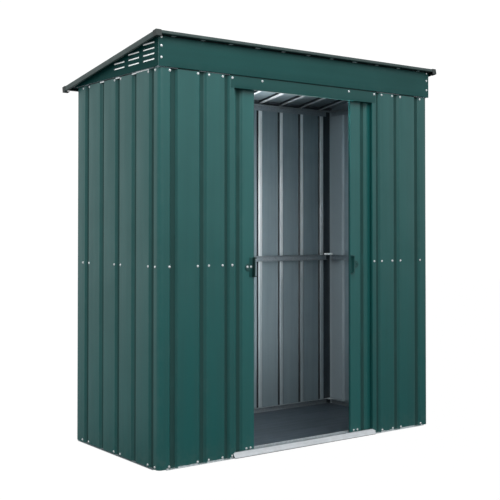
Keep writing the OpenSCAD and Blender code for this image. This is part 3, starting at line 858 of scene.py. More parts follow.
def softened(node: str, finish: CoatFinish | ZincFinish, tag: Tag, width: float, segments: int = 2
             ) -> bpy.types.Object:
    """A copy of a node with its loose triangles merged, its flats made whole and its edges rounded.

    Args:
        node: the node to copy, which the copy stands for.
        finish: finish of the copy.
        tag: body and slot of the copy.
        width: width of the rounding.
        segments: steps of the rounding.

    Returns:
        The copy.
    """
    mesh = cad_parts[node].data.copy()
    mesh.name = node + "_rounded"
    work = bmesh.new()
    work.from_mesh(mesh)
    bmesh.ops.remove_doubles(work, verts=work.verts, dist=1e-5)
    bmesh.ops.dissolve_limit(work, angle_limit=math.radians(0.5), verts=work.verts, edges=work.edges)
    work.to_mesh(mesh)
    work.free()
    mesh.materials.clear()
    mesh.materials.append(finish.material())
    mesh.shade_smooth()
    mesh.set_sharp_from_angle(angle=math.radians(30))
    piece = bpy.data.objects.new(node + "_rounded", mesh)
    bpy.context.scene.collection.objects.link(piece)
    bevel = piece.modifiers.new("Rounded edges", "BEVEL")
    bevel.width = width
    bevel.segments = segments
    bevel.limit_method = "ANGLE"
    bevel.angle_limit = math.radians(35)
    return Tag(tag.body, tag.slot, (node,)).on(piece)


# ---------------------------------------------------------------- the shed's plan

STATIONS = 37


@dataclass
class Plan:
    """Faces and heights of the shed, read from the frame, and the places of its grooves."""

    ribs: Ribs = field(default_factory=Ribs)
    front_first: float = 0.081
    side_first: float = 0.066
    jamb_groove: float = 0.383
    jamb_edge: float = 0.426
    jamb_top: float = 0.032
    jamb_floor: float = 0.014
    corner_radius: float = 0.038
    rail_lines: tuple[float, ...] = (0.013, 0.928, 1.834)

    def __post_init__(self) -> None:
        """Reads the faces and heights."""
        self.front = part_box("front_panel_left")[0].y
        self.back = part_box("back_wall_panel_centre")[1].y
        self.half = -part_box("left_wall_panel_front")[0].x
        self.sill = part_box("front_panel_left")[0].z
        self.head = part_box("front_panel_left")[1].z
        self.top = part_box("side_top_rails")[1].z
        self.depth = self.back - self.front
        self.back_grooves = [self.half + i * self.ribs.pitch for i in range(-5, 6)]
        self.side_grooves = [self.side_first + i * self.ribs.pitch for i in range(5)]

    def front_wall(self) -> Bearings:
        """Left end of the front wall, x to the right and depth backwards."""
        return Bearings((-self.half, self.front, 0.0), (1, 0, 0), (0, 1, 0), (0, 0, 1))

    def side_wall(self) -> Bearings:
        """Front end of the left wall, distance backwards and depth to the right."""
        return Bearings((-self.half, self.front, 0.0), (0, 1, 0), (1, 0, 0), (0, 0, 1))

    def back_wall(self) -> Bearings:
        """Left end of the back wall, x to the right and depth forwards."""
        return Bearings((-self.half, self.back, 0.0), (1, 0, 0), (0, -1, 0), (0, 0, 1))

    def level_front(self) -> Bearings:
        """Middle of the front wall, depth backwards and height, carried to the right."""
        return Bearings((0, self.front, 0), (0, 1, 0), (0, 0, 1), (1, 0, 0))

    def level_end(self, hand: Hand) -> Bearings:
        """Outer end of the front wall, depth backwards and height, carried towards the doorway."""
        return Bearings((-self.half, self.front, 0), (0, 1, 0), (0, 0, 1), (1, 0, 0)).for_hand(hand)

    def level_side(self, hand: Hand) -> Bearings:
        """Front end of a side wall, depth inwards and height, carried backwards."""
        return Bearings((-self.half, self.front, 0), (1, 0, 0), (0, 0, 1), (0, 1, 0)).for_hand(hand)

    def heights(self) -> Array:
        """Stations up the walls."""
        return np.linspace(self.sill, self.head, STATIONS)


@dataclass
class Walls:
    """Ribbed panels, corner posts, door jambs and header."""

    plan: Plan
    swell: float = 0.0030
    jamb_return: float = 0.0133
    header_low: float = 1.785
    header_lap: float = 0.022
    doorway_half: float = 0.459
    tab_height: float = 0.009
    rim_height: float = 0.0055
    tape: float = 0.0004

    def build(self) -> None:
        """Builds every sheet of the walls."""
        self.panels()
        self.corners()
        self.jambs()
        self.header()
        self.hems()

    def sheet(self, node: str, corners: list[tuple[float, float, float]], bearings: Bearings, seed: int,
              arc: int = 4) -> bpy.types.Object:
        """Builds one upright ribbed sheet in place of its node.

        Args:
            node: the node that it stands for.
            corners: section's corners, as distance, depth and radius.
            bearings: place of the section.
            seed: seed for the swell of its flats.
            arc: steps in each fold.

        Returns:
            The sheet.
        """
        bow = Bow(self.swell, seed, self.plan.rail_lines)
        skin = self.plan.ribs.sheet_section(corners, arc).carried(bearings, self.plan.heights(), bow)
        faces = {"back": BACK_SHEET, "corner": CORNER_SHEET}.get(node.split("_")[0], GREEN_SHEET)
        piece = skin.to_object(node + "_sheet", materials(faces))
        return Tag(Body.SHELL, Slot.SHEET, (node,)).on(piece)

    def panels(self) -> None:
        """Front, side and back panels, each hand with its own swell."""
        plan, ribs = self.plan, self.plan.ribs
        front = (ribs.lap_start(plan.front_first, True) + ribs.groove(plan.front_first + ribs.pitch)
                 + ribs.lap_end(plan.jamb_groove, False, plan.jamb_top, plan.jamb_floor))
        side = plan.side_grooves
        side_front = ribs.lap_start(side[0], True) + ribs.groove(side[1]) + ribs.lap_end(side[2], False)
        side_back = ribs.lap_start(side[2], True) + ribs.groove(side[3]) + ribs.lap_end(side[4], False)
        back = plan.back_grooves
        back_end = (ribs.lap_start(back[0], True) + ribs.groove(back[1]) + ribs.groove(back[2])
                    + ribs.lap_end(back[3], False))
        back_mid = (ribs.lap_start(back[3], True) + ribs.groove(back[4]) + ribs.groove(back[5])
                    + ribs.groove(back[6]) + ribs.lap_end(back[7], True))
        for number, hand in enumerate(Hand):
            name = hand.name.lower()
            seed = 10 * number
            self.sheet(f"front_panel_{name}", front, plan.front_wall().for_hand(hand), 3 + seed)
            self.sheet(f"{name}_wall_panel_front", side_front, plan.side_wall().for_hand(hand), 4 + seed)
            self.sheet(f"{name}_wall_panel_back", side_back, plan.side_wall().for_hand(hand), 5 + seed)
            self.sheet(f"back_wall_panel_{name}", back_end, plan.back_wall().for_hand(hand), 6 + seed)
        self.sheet("back_wall_panel_centre", back_mid, plan.back_wall(), 7)

    def corners(self) -> None:
        """Round corner posts: the side leg backwards, the corner, then the front leg, each ending in a lap."""
        plan, ribs = self.plan, self.plan.ribs
        last = plan.depth - plan.side_grooves[-1]
        for where, side_c, side_under, wall_c in (("front", plan.side_first, False, plan.front_first),
                                                  ("back", last, True, plan.back_grooves[0])):
            side = [(d, a, r) for a, d, r in reversed(ribs.lap_end(side_c, side_under))]
            path = side + [(0.0, 0.0, plan.corner_radius)] + ribs.lap_end(wall_c, False)
            bearings = plan.front_wall() if where == "front" else plan.back_wall()
            for hand in Hand:
                self.sheet(f"corner_{where}_{hand.name.lower()}", path, bearings.for_hand(hand), 8, arc=10)

    def jambs(self) -> None:
        """Narrow sheets beside the doorway, with their edges turned in."""
        plan, ribs = self.plan, self.plan.ribs
        path = ribs.lap_start(plan.jamb_groove, True, plan.jamb_top, plan.jamb_floor) + [
            (plan.jamb_edge, 0, 0.0016), (plan.jamb_edge, self.jamb_return, 0)]
        section = ribs.sheet_section(path)
        both = [section.carried(plan.front_wall().for_hand(hand), plan.heights()) for hand in Hand]
        piece = Skin.joined(both).to_object("door_jambs_sheet", materials(GREEN_SHEET))
        Tag(Body.SHELL, Slot.SHEET, ("door_jambs",)).on(piece)

    def hems(self) -> None:
        """Dark tape over the walls, as painted shadow under the gables and fascia, and bright rail tabs in the side
        walls' middle grooves.
        """
        plan, ribs = self.plan, self.plan.ribs
        t, low, high = self.tape, plan.head - 0.001, plan.top - 0.0001
        tabs, hems = [], []
        half_top = ribs.top / 2
        for hand in Hand:
            side, front = plan.level_side(hand), plan.level_end(hand)
            strip = plain_section([(-t, low), (-t, high)], -t * 0.8)
            stops = [plan.corner_radius] + [e for c in plan.side_grooves for e in (c - half_top, c + half_top)]
            stops.append(plan.depth - plan.corner_radius)
            for a, b in zip(stops[::2], stops[1::2]):
                hems.append(strip.carried(side, np.array([a, b])))
            tab = plain_section([(0.0002, high - self.tab_height), (0.0002, high)], -0.0009)
            for c in plan.side_grooves[1:4]:
                tabs.append(tab.carried(side, np.array([c - half_top + 0.001, c + half_top - 0.001])))
            rim = plain_section([(-2 * t, high - self.rim_height), (-2 * t, high)], -t * 0.8)
            tabs.append(rim.carried(side, np.array(plan.side_grooves[:2]) + np.array([half_top, -half_top])))
            hems.append(strip.carried(front, np.array([plan.front_first + half_top,
                                                       plan.front_first + ribs.pitch - half_top])))
            hems.append(strip.carried(front, np.array([plan.jamb_groove + plan.jamb_top / 2, plan.half])))
        piece = Skin.joined(hems).to_object("wall_top_tape", materials([SHADOW_TAPE] * 3))
        Tag(Body.SHELL, Slot.CAP).on(piece)
        piece = Skin.joined(tabs).to_object("side_rail_tabs", materials([BRIGHT] * 3))
        Tag(Body.SHELL, Slot.BRIGHT).on(piece)

    def header(self) -> None:
        """Plate over the doorway, with its lower edge turned in between the jambs."""
        plan, t = self.plan, self.plan.ribs.sheet
        bearings = plan.level_front()
        inner = self.doorway_half - 0.0003
        outer = self.doorway_half + self.header_lap
        folded = plain_section([(self.jamb_return, self.header_low), (-t, self.header_low), (-t, plan.head)], -t)
        plate = plain_section([(-t, self.header_low), (-t, plan.head)], -t)
        skins = [folded.carried(bearings, np.linspace(-inner, inner, 9)),
                 plate.carried(bearings, np.array([-outer, -inner])),
                 plate.carried(bearings, np.array([inner, outer]))]
        piece = Skin.joined(skins).to_object("door_header_sheet", materials(LEVEL_SHEET))
        Tag(Body.SHELL, Slot.SHEET, ("door_header",)).on(piece)


@dataclass
class Roof:
    """Roof sheets, trims, corner caps, fascia, gables and their louvres."""

    plan: Plan
    pitch: float = 8.91
    lift: float = 0.0084
    stack: float = 0.0136
    trim_top: float = 0.0146
    trim_low: float = -0.0120
    front_over: float = 0.0384
    back_over: float = 0.0928
    side_over: float = 0.0376
    cap_wall: float = 0.0017
    trim_cover: float = 0.018
    sheet_in: float = 0.0012
    proud: float = 0.006
    board_in: float = 0.040
    swell: float = 0.0006
    slot_length: float = 0.104
    slot_height: float = 0.008
    slot_pitch: float = 0.140
    slot_rise: float = 0.0257
    slot_columns: int = 3
    slot_first: float = 0.030
    slot_base: float = 0.034
    blade_cover: float = 0.84
    filler_over: float = 0.003
    filler_play: float = 0.0001
    back_filler_run: tuple[float, float] = (-0.0225, -0.0025)
    front_filler_run: tuple[float, float] = (-0.8500, -0.8330)

    def __post_init__(self) -> None:
        """Works out the roof's own frame: s runs down the slope from the back wall, n stands square to it."""
        angle = math.radians(self.pitch)
        self.down = (0.0, math.cos(angle), -math.sin(angle))
        self.up = (0.0, math.sin(angle), math.cos(angle))
        self.origin = (0.0, self.plan.back, self.plan.top + self.lift)
        self.s0 = -(self.plan.depth + self.front_over) / math.cos(angle) + self.cap_wall
        self.s1 = self.back_over / math.cos(angle) - self.cap_wall
        self.trim_x = self.plan.half + self.side_over - self.cap_wall

    def at(self, x: float, s: float, n: float) -> Triple:
        """Point of the roof's frame."""
        base = np.array(self.origin) + np.array([x, 0, 0]) + s * np.array(self.down) + n * np.array(self.up)
        return tuple(base.tolist())

    def slope_z(self, v: float, n: float) -> float:
        """Height of a line at n above the lapped grooves' underside, at depth v behind the front wall."""
        angle = math.radians(self.pitch)
        return self.plan.top + self.lift + (self.plan.depth - v) * math.tan(angle) + n / math.cos(angle)

    def build(self) -> None:
        """Builds everything above the wall rails."""
        self.sheets()
        self.trims()
        self.fascia()
        self.gables()
        self.fillers()
        softened("roof_corner_caps", CAP, Tag(Body.SHELL, Slot.CAP), 0.0011, 3)

    def fillers(self) -> None:
        """Foam blocks between the grooves, over the fascia and over the back wall; those over the fascia are dark, as
        painted shade.
        """
        ribs, half = self.plan.ribs, self.plan.half
        centres = np.array(self.plan.back_grooves) - half
        left = np.concatenate([[-half - self.filler_over], centres])
        right = np.concatenate([centres, [half + self.filler_over]])
        low, high = self.filler_play, self.stack - ribs.sheet - self.filler_play
        bearings = Bearings(self.origin, (1, 0, 0), self.up, self.down)
        for name, foam, run in (("back_filler", FOAM_BACK, self.back_filler_run),
                                ("front_filler", FOAM_SHADED, self.front_filler_run)):
            blocks = []
            for a, b in zip(left, right):
                inner_a, inner_b = abs(a) < half, abs(b) < half
                top_a = a + (ribs.top / 2 if inner_a else 0.0)
                top_b = b - (ribs.top / 2 if inner_b else 0.0)
                low_a = a + (ribs.floor / 2 + 0.001 if inner_a else 0.0)
                low_b = b - (ribs.floor / 2 + 0.001 if inner_b else 0.0)
                blocks.append(prism([(low_a, low), (low_b, low), (top_b, high), (top_a, high)], bearings, *run))
            piece = Skin.joined(blocks).to_object(name, materials([foam]))
            Tag(Body.SHELL, Slot.CAP).on(piece)

    def sheets(self) -> None:
        """Ribbed roof sheets, lapped in grooves."""
        plan, ribs, back = self.plan, self.plan.ribs, self.plan.back_grooves
        down = tuple(-c for c in self.up)
        base = Bearings(self.at(-plan.half, 0.0, self.stack), (1, 0, 0), down, self.down)
        along = np.linspace(self.s0 + self.sheet_in, self.s1 - self.sheet_in, 21)
        edge = [(-(self.trim_x - self.sheet_in - plan.half), 0.0, 0.0)]
        end = edge + sum((ribs.groove(c) for c in back[:3]), []) + ribs.lap_end(back[3], False)
        middle = (ribs.lap_start(back[3], True) + sum((ribs.groove(c) for c in back[4:7]), [])
                  + ribs.lap_end(back[7], True))
        held = (-self.plan.depth + 0.02, -0.02)
        for node, corners, bearings, seed in (("roof_panel_left", end, base, 31),
                                              ("roof_panel_right", end, base.mirrored(), 32),
                                              ("roof_panel_centre", middle, base, 33)):
            skin = ribs.sheet_section(corners).carried(bearings, along, Bow(self.swell, seed, held))
            piece = skin.to_object(node + "_sheet", materials(ROOF_SHEET))
            Tag(Body.SHELL, Slot.SHEET, (node,)).on(piece)

    def trims(self) -> None:
        """Folded trims around the sheets' edges."""
        t = self.plan.ribs.sheet
        x = self.trim_x - self.trim_cover - 0.0004
        low = -0.0010
        end = plain_section([(0.014, low), (0, low), (0, self.trim_top), (self.trim_cover, self.trim_top)],
                            -t, 0.0022, 4)
        for node, s, way in (("roof_front_trim", self.s0, 1.0), ("roof_back_trim", self.s1, -1.0)):
            bearings = Bearings(self.at(0, s, 0), tuple(way * c for c in self.down), self.up, (1, 0, 0))
            piece = end.carried(bearings, np.linspace(-x, x, 9)).to_object(node + "_sheet", materials([TRIM] * 3))
            Tag(Body.SHELL, Slot.TRIM, (node,)).on(piece)
        side = plain_section([(0.010, self.trim_low), (0, self.trim_low), (0, self.trim_top),
                              (self.trim_cover, self.trim_top)], -t, 0.0022, 4)
        bearings = Bearings(self.at(-self.trim_x, 0, 0), (1, 0, 0), self.up, self.down)
        along = np.linspace(self.s0, self.s1, 7)
        both = Skin.joined([side.carried(bearings.for_hand(hand), along) for hand in Hand])
        Tag(Body.SHELL, Slot.TRIM, ("roof_side_trims",)).on(
            both.to_object("roof_side_trims_sheet", materials([TRIM] * 3)))

    def fascia(self) -> None:
        """Board over the front wall, with turned edges between the gables."""
        plan, t = self.plan, self.plan.ribs.sheet
        face, run = -self.proud - t, 0.020
        top = self.slope_z(face, -0.0003)
        board = plain_section([(run, plan.top), (face, plan.top), (face, top), (run, self.slope_z(run, -0.0003))],
                              -t, 0.0018, 4)
        flat = plain_section([(face, plan.top), (face, top)], -t)
        bearings = plan.level_front()
        inner, outer = plan.half - self.board_in, plan.half + self.proud + t
        skins = [board.carried(bearings, np.linspace(-inner, inner, 25), Bow(0.0005, 41, (-0.84, 0.84))),
                 flat.carried(bearings, np.array([-outer, -inner])),
                 flat.carried(bearings, np.array([inner, outer]))]
        piece = Skin.joined(skins).to_object("fascia_sheet", materials(BOARD_SHEET))
        Tag(Body.SHELL, Slot.SHEET, ("fascia",)).on(piece)

    def gables(self) -> None:
        """Gable sheets keep their nodes, in a coat darkened as painted shade; each slot gets a pressed blade behind
        it, which glows a little as painted light.
        """
        plan, t = self.plan, self.plan.ribs.sheet
        for hand in Hand:
            name = hand.name.lower()
            paint_node(f"{name}_gable", GABLE_SHADED)
            face = plan.half + self.proud
            blades = []
            for column in range(self.slot_columns):
                for row in range(self.slot_columns + 1 - column):
                    v = self.slot_first + column * self.slot_pitch
                    z = plan.top + self.slot_base + row * self.slot_rise
                    brow = z + self.slot_height * self.blade_cover
                    path = [(0.0002, z - 0.0012), (0.0003, z + 0.0002), (0.0022, brow)]
                    blade = plain_section(path, -0.0006, 0.002, 3)
                    bearings = Bearings((-face + t, plan.front, 0), (1, 0, 0), (0, 0, 1), (0, 1, 0))
                    blades.append(blade.carried(bearings.for_hand(hand),
                                                np.array([v - 0.001, v + self.slot_length + 0.001])))
            piece = Skin.joined(blades).to_object(f"{name}_gable_louvres", materials([LOUVRE_GLOWING] * 3))
            Tag(Body.SHELL, Slot.BRIGHT).on(piece)


def paint_node(node: str, finish: CoatFinish) -> None:
    """Gives a node of the frame its finish."""
    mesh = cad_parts[node].data
    mesh.materials.clear()
    mesh.materials.append(finish.material())
    LOG.info("%s: keeps its mesh, finish %s", node, finish.name)


@dataclass
class Rails:
    """Base, middle and top rails, the track, the corner plates, the floor and the ramp."""

    plan: Plan
    ramp_out: float = 0.016
    ramp_toe: float = 0.0025
    ramp_top: float = 0.026
    ramp_t: float = 0.0012
    ramp_half: float = 0.466
    ramp_back: float = 0.0134
    between: float = 0.4587
    rounding: float = 0.00035
    gusset_start: tuple[float, float] = (0.054, -0.012)
    gusset_way: Triple = (-0.042, -0.033, 0.0)
    gusset_length: float = 0.0534
    gusset_lip: float = 0.0095
    foot_start: float = 0.041
    foot_gap: float = 0.0001
    foot_proud: float = 0.0002
    foot_lip: float = 0.0075
    foot_shadow: float = 0.0035
    foot_sheet: float = 0.0008

    def build(self) -> None:
        """Builds the rails and what lies on them."""
        zinc = Tag(Body.SHELL, Slot.ZINC)
        softened("front_base_rail", WORN, zinc, self.rounding)
        for node in ("back_base_rail", "side_base_rails", "front_mid_rails", "back_mid_rail", "side_mid_rails",
                     "front_top_track", "back_top_rail", "side_top_rails"):
            softened(node, ZINC, zinc, self.rounding)
        softened("corner_plates", BRIGHT, Tag(Body.SHELL, Slot.BRIGHT), self.rounding)
        paint_node("floor_panel", FLOOR)
        self.gussets()
        self.feet()
        self.ramp()

    def gussets(self) -> None:
        """Bright turned-up lips across the back corners, on the plates of the middle rails."""
        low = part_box("corner_plates")[1].z + 0.0001
        lip = plain_section([(0.0, low), (0.0, low + self.gusset_lip)], 0.001)
        way = Vector(self.gusset_way).normalized()
        start = (-self.plan.half + self.gusset_start[0], self.plan.back + self.gusset_start[1], 0.0)
        bearings = Bearings(start, (-way.y, way.x, 0.0), (0, 0, 1), tuple(way))
        both = [lip.carried(bearings.for_hand(hand), np.array([0.0, self.gusset_length])) for hand in Hand]
        Tag(Body.SHELL, Slot.BRIGHT).on(Skin.joined(both).to_object("corner_plate_lips", materials([BRIGHT] * 3)))

    def feet(self) -> None:
        """Zinc lips of the front base rail on the flats between grooves, and dark strips as painted shadow at the
        sides and under the ramp's toe.
        """
        plan, ribs, gap, proud = self.plan, self.plan.ribs, self.foot_gap, self.foot_proud
        half, jamb_half = ribs.top / 2, plan.jamb_top / 2
        second = plan.front_first + ribs.pitch
        front = [(self.foot_start, plan.front_first - half), (plan.front_first + half, second - half),
                 (second + half, plan.jamb_groove - jamb_half),
                 (plan.jamb_groove + jamb_half, plan.jamb_edge - 0.002)]
        sides = [(a + half, b - half) for a, b in zip(plan.side_grooves, plan.side_grooves[1:])]
        lip = plain_section([(-proud, gap), (-proud, self.foot_lip)], -self.foot_sheet)
        shadow_strip = plain_section([(-proud, gap), (-proud, self.foot_shadow)], -self.foot_sheet)
        lips, shadow_strips = [], []
        for hand in Hand:
            lips += [lip.carried(plan.level_end(hand), np.array([a + 0.003, b - 0.003])) for a, b in front]
            shadow_strips += [shadow_strip.carried(plan.level_side(hand), np.array(span)) for span in sides]
        out = self.ramp_out + gap
        # Painted shadow under the ramp's toe.
        toe_shadow = plain_section([(-out, gap), (-out, self.ramp_toe)], -0.0005)
        shadow_strips.append(toe_shadow.carried(plan.level_front(), np.array([-self.ramp_half, self.ramp_half])))
        Tag(Body.SHELL, Slot.ZINC).on(Skin.joined(lips).to_object("front_foot_lips", materials([WORN] * 3)))
        Tag(Body.SHELL, Slot.CAP).on(Skin.joined(shadow_strips).to_object("foot_seals", materials([SHADOW_TAPE] * 3)))

    def ramp(self) -> None:
        """Sloped sheet in front of the doorway; its top is turned down between the jambs."""
        bearings = self.plan.level_front()
        foot = [(-self.ramp_out, 0.0), (-self.ramp_out, self.ramp_toe)]
        rise = (self.ramp_top - self.ramp_toe) / (0.001 + self.ramp_out)
        stop = (-self.ramp_t, self.ramp_top - rise * (0.001 + self.ramp_t))
        crest = [(0.001, self.ramp_top), (self.ramp_back, self.ramp_top), (self.ramp_back, self.ramp_top / 3)]
        end = plain_section(foot + [stop], -self.ramp_t, 0.0014, 4)
        whole = plain_section(foot + crest, -self.ramp_t, 0.0014, 4)
        skins = [whole.carried(bearings, np.linspace(-self.between, self.between, 9)),
                 end.carried(bearings, np.array([-self.ramp_half, -self.between])),
                 end.carried(bearings, np.array([self.between, self.ramp_half]))]
        piece = Skin.joined(skins).to_object("door_ramp_sheet", materials([ALUMINIUM] * 3))
        Tag(Body.SHELL, Slot.ALUMINIUM, ("door_ramp",)).on(piece)


@dataclass
class Door:
    """One sliding door: its ribbed sheet, stiffeners, handle and slides."""

    plan: Plan
    hand: Hand
    width: float = 0.510
    inset: float = 0.026
    edge: float = 0.831
    fold: float = 0.016
    lip: float = 0.012
    rib_depth: float = 0.010
    first: float = 0.093
    swell: float = 0.0022
    stiffener_line: float = 0.923

    def __post_init__(self) -> None:
        """Reads the door's heights."""
        self.name = self.hand.name.lower() + "_door"
        self.body = Body[self.name.upper()]
        low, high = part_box(f"{self.name}_panel")
        self.low, self.high = low.z, high.z

    def build(self) -> None:
        """Builds the door."""
        ribs, plan = self.plan.ribs, self.plan
        grooves = [self.first + i * ribs.pitch for i in range(3)]
        path = ([(self.lip, self.fold, 0), (0, self.fold, 0.0012), (0, 0, 0.0022)]
                + sum((ribs.groove(c, self.rib_depth) for c in grooves), [])
                + [(self.width, 0, 0.0022), (self.width, self.fold, 0.0012), (self.width - self.lip, self.fold, 0)])
        origin = (-self.edge, plan.front + self.inset, 0.0)
        bearings = Bearings(origin, (1, 0, 0), (0, 1, 0), (0, 0, 1)).for_hand(self.hand)
        bow = Bow(self.swell, 51 + self.hand.value, (self.low, self.stiffener_line, self.high))
        section = ribs.sheet_section(path, depth=self.rib_depth)
        skin = section.carried(bearings, np.linspace(self.low, self.high, STATIONS), bow)
        Tag(self.body, Slot.SHEET, (f"{self.name}_panel",)).on(
            skin.to_object(f"{self.name}_sheet", materials(DOOR_SHEET)))
        softened(f"{self.name}_stiffeners", ZINC, Tag(self.body, Slot.ZINC), 0.00035)
        # The left handle's bar is in painted shade; the right handle is the plain green plastic.
        grip = GRIP_SHADED if self.hand is Hand.LEFT else GRIP_FAR
        softened(f"{self.name}_handle", grip, Tag(self.body, Slot.HANDLE), 0.0012, 3)
        softened(f"{self.name}_slides", NYLON, Tag(self.body, Slot.NYLON), 0.0008)


@dataclass
class Screws:
    """Screws and washers of the walls, fascia, roof and doors."""

    plan: Plan
    roof: Roof
    head: ScrewHead = field(default_factory=ScrewHead)
    front_places: tuple[float, ...] = (0.058, 0.214, 0.277, 0.356, 0.413)
    side_places: tuple[float, ...] = (0.031, 0.094, 0.356, 0.419, 0.687, 0.755)
    header_places: tuple[float, ...] = (-0.290, 0.287)
    fascia_heights: tuple[float, ...] = (1.889, 1.942, 1.983)
    lap_side: float = 0.032
    jamb_line: float = 1.833
    handle_line: float = 0.9165
    handle_places: tuple[float, ...] = (0.021, 0.043)
    handle_sink: float = 0.003
    shoe_line: float = 0.030
    shoe_places: tuple[float, ...] = (0.022, 0.048)
    stiffener_place: float = 0.459

    def rows(self, xs: Array, ys: Array, normal: Triple, heights: tuple[float, ...]) -> tuple[Array, Array]:
        """Places and normals of rows of screws at several heights, one screw at each x, y."""
        z = np.repeat(np.array(heights), len(xs))
        places = np.stack([np.tile(xs, len(heights)), np.tile(ys, len(heights)), z], 1)
        return places, np.tile(np.array(normal, float), (len(places), 1))

    def set(self, name: str, groups: list[tuple[Array, Array]], body: Body, seed: int,
            finish: CoatFinish | ZincFinish = BRIGHT, slot: Slot = Slot.BRIGHT) -> None:
        """Makes one piece of several groups of screws."""
        places = np.concatenate([g[0] for g in groups])
        normals = np.concatenate([g[1] for g in groups])
        skin = self.head.skin(places, normals, seed)
        Tag(body, slot).on(skin.to_object(name, materials([finish, finish]), sharp=40.0))

    def build(self) -> None:
        """Builds the screws of every sub-assembly."""
        plan = self.plan
        t = plan.ribs.sheet
        along = np.array(self.front_places)
        xs = np.concatenate([along - plan.half, plan.half - along])
        header = np.array(self.header_places)
        jamb = np.abs(np.abs(xs) - (plan.half - self.front_places[-1])) < 0.001
        front = [self.rows(xs, np.full(len(xs), plan.front), (0, -1, 0), plan.rail_lines[:2]),
                 self.rows(xs[~jamb], np.full(int((~jamb).sum()), plan.front), (0, -1, 0), plan.rail_lines[2:]),
                 self.rows(np.concatenate([xs[jamb], header]), np.full(int(jamb.sum()) + len(header),
                           plan.front - t), (0, -1, 0), (self.jamb_line,))]
        self.set("front_wall_screws", front, Body.SHELL, 61)
        v = plan.front + np.array(self.side_places)
        for hand in Hand:
            x = hand.value * plan.half
            group = self.rows(np.full(len(v), x), v, (hand.value, 0, 0), plan.rail_lines)
            self.set(f"{hand.name.lower()}_wall_screws", [group], Body.SHELL, 62 + hand.value)
        laps = np.array([plan.back_grooves[i] for i in (0, 3, 5, 7, 10)]) - plan.half
        bx = np.concatenate([laps - self.lap_side, laps + self.lap_side])
        self.set("back_wall_screws", [self.rows(bx, np.full(len(bx), plan.back), (0, 1, 0), plan.rail_lines)],
                 Body.SHELL, 65)
        fx = np.array([-1.0, 1.0]) * (plan.half + self.roof.proud + t - 0.016)
        face = plan.front - self.roof.proud - t
        self.set("fascia_screws", [self.rows(fx, np.full(2, face), (0, -1, 0), self.fascia_heights)],
                 Body.SHELL, 66)
        self.roof_screws(laps)
        for hand in Hand:
            self.door_screws(hand)

    def roof_screws(self, laps: Array) -> None:
        """Rows over the front and back walls, beside the laps."""
        xs = np.concatenate([laps - self.lap_side, laps + self.lap_side])
        up = np.array(self.roof.up)
        places = np.array([self.roof.at(x, s, self.roof.stack) for s in (-self.plan.depth + 0.012, -0.020)
                           for x in xs])
        self.set("roof_screws", [(places, np.tile(up, (len(places), 1)))], Body.SHELL, 67)

    def door_screws(self, hand: Hand) -> None:
        """Handle screws on the plate, and the screws of the shoes and of the middle stiffener."""
        door = Door(self.plan, hand)
        face = self.plan.front + door.inset
        lead = door.edge - door.width
        side = float(hand.value)
        plate = np.array([[side * (lead + x), face - self.handle_sink, self.handle_line]
                          for x in self.handle_places])
        ends = np.array(self.shoe_places)
        offsets = np.concatenate([ends, door.width - ends])
        shoes = np.stack([side * (lead + offsets), np.full(4, face), np.full(4, self.shoe_line)], 1)
        stiff = np.array([[side * (lead + self.stiffener_place), face, door.stiffener_line]])
        bright = [shoes, stiff] + ([plate] if hand is Hand.LEFT else [])
        out = (0.0, -1.0, 0.0)
        self.set(f"{door.name}_screws", [(p, np.tile(out, (len(p), 1))) for p in bright], door.body,
                 68 + hand.value)
        if hand is Hand.RIGHT:
            self.set("right_handle_screws", [(plate, np.tile(out, (2, 1)))], door.body, 70, SCREW_CAP, Slot.HANDLE)


# ---------------------------------------------------------------- studio

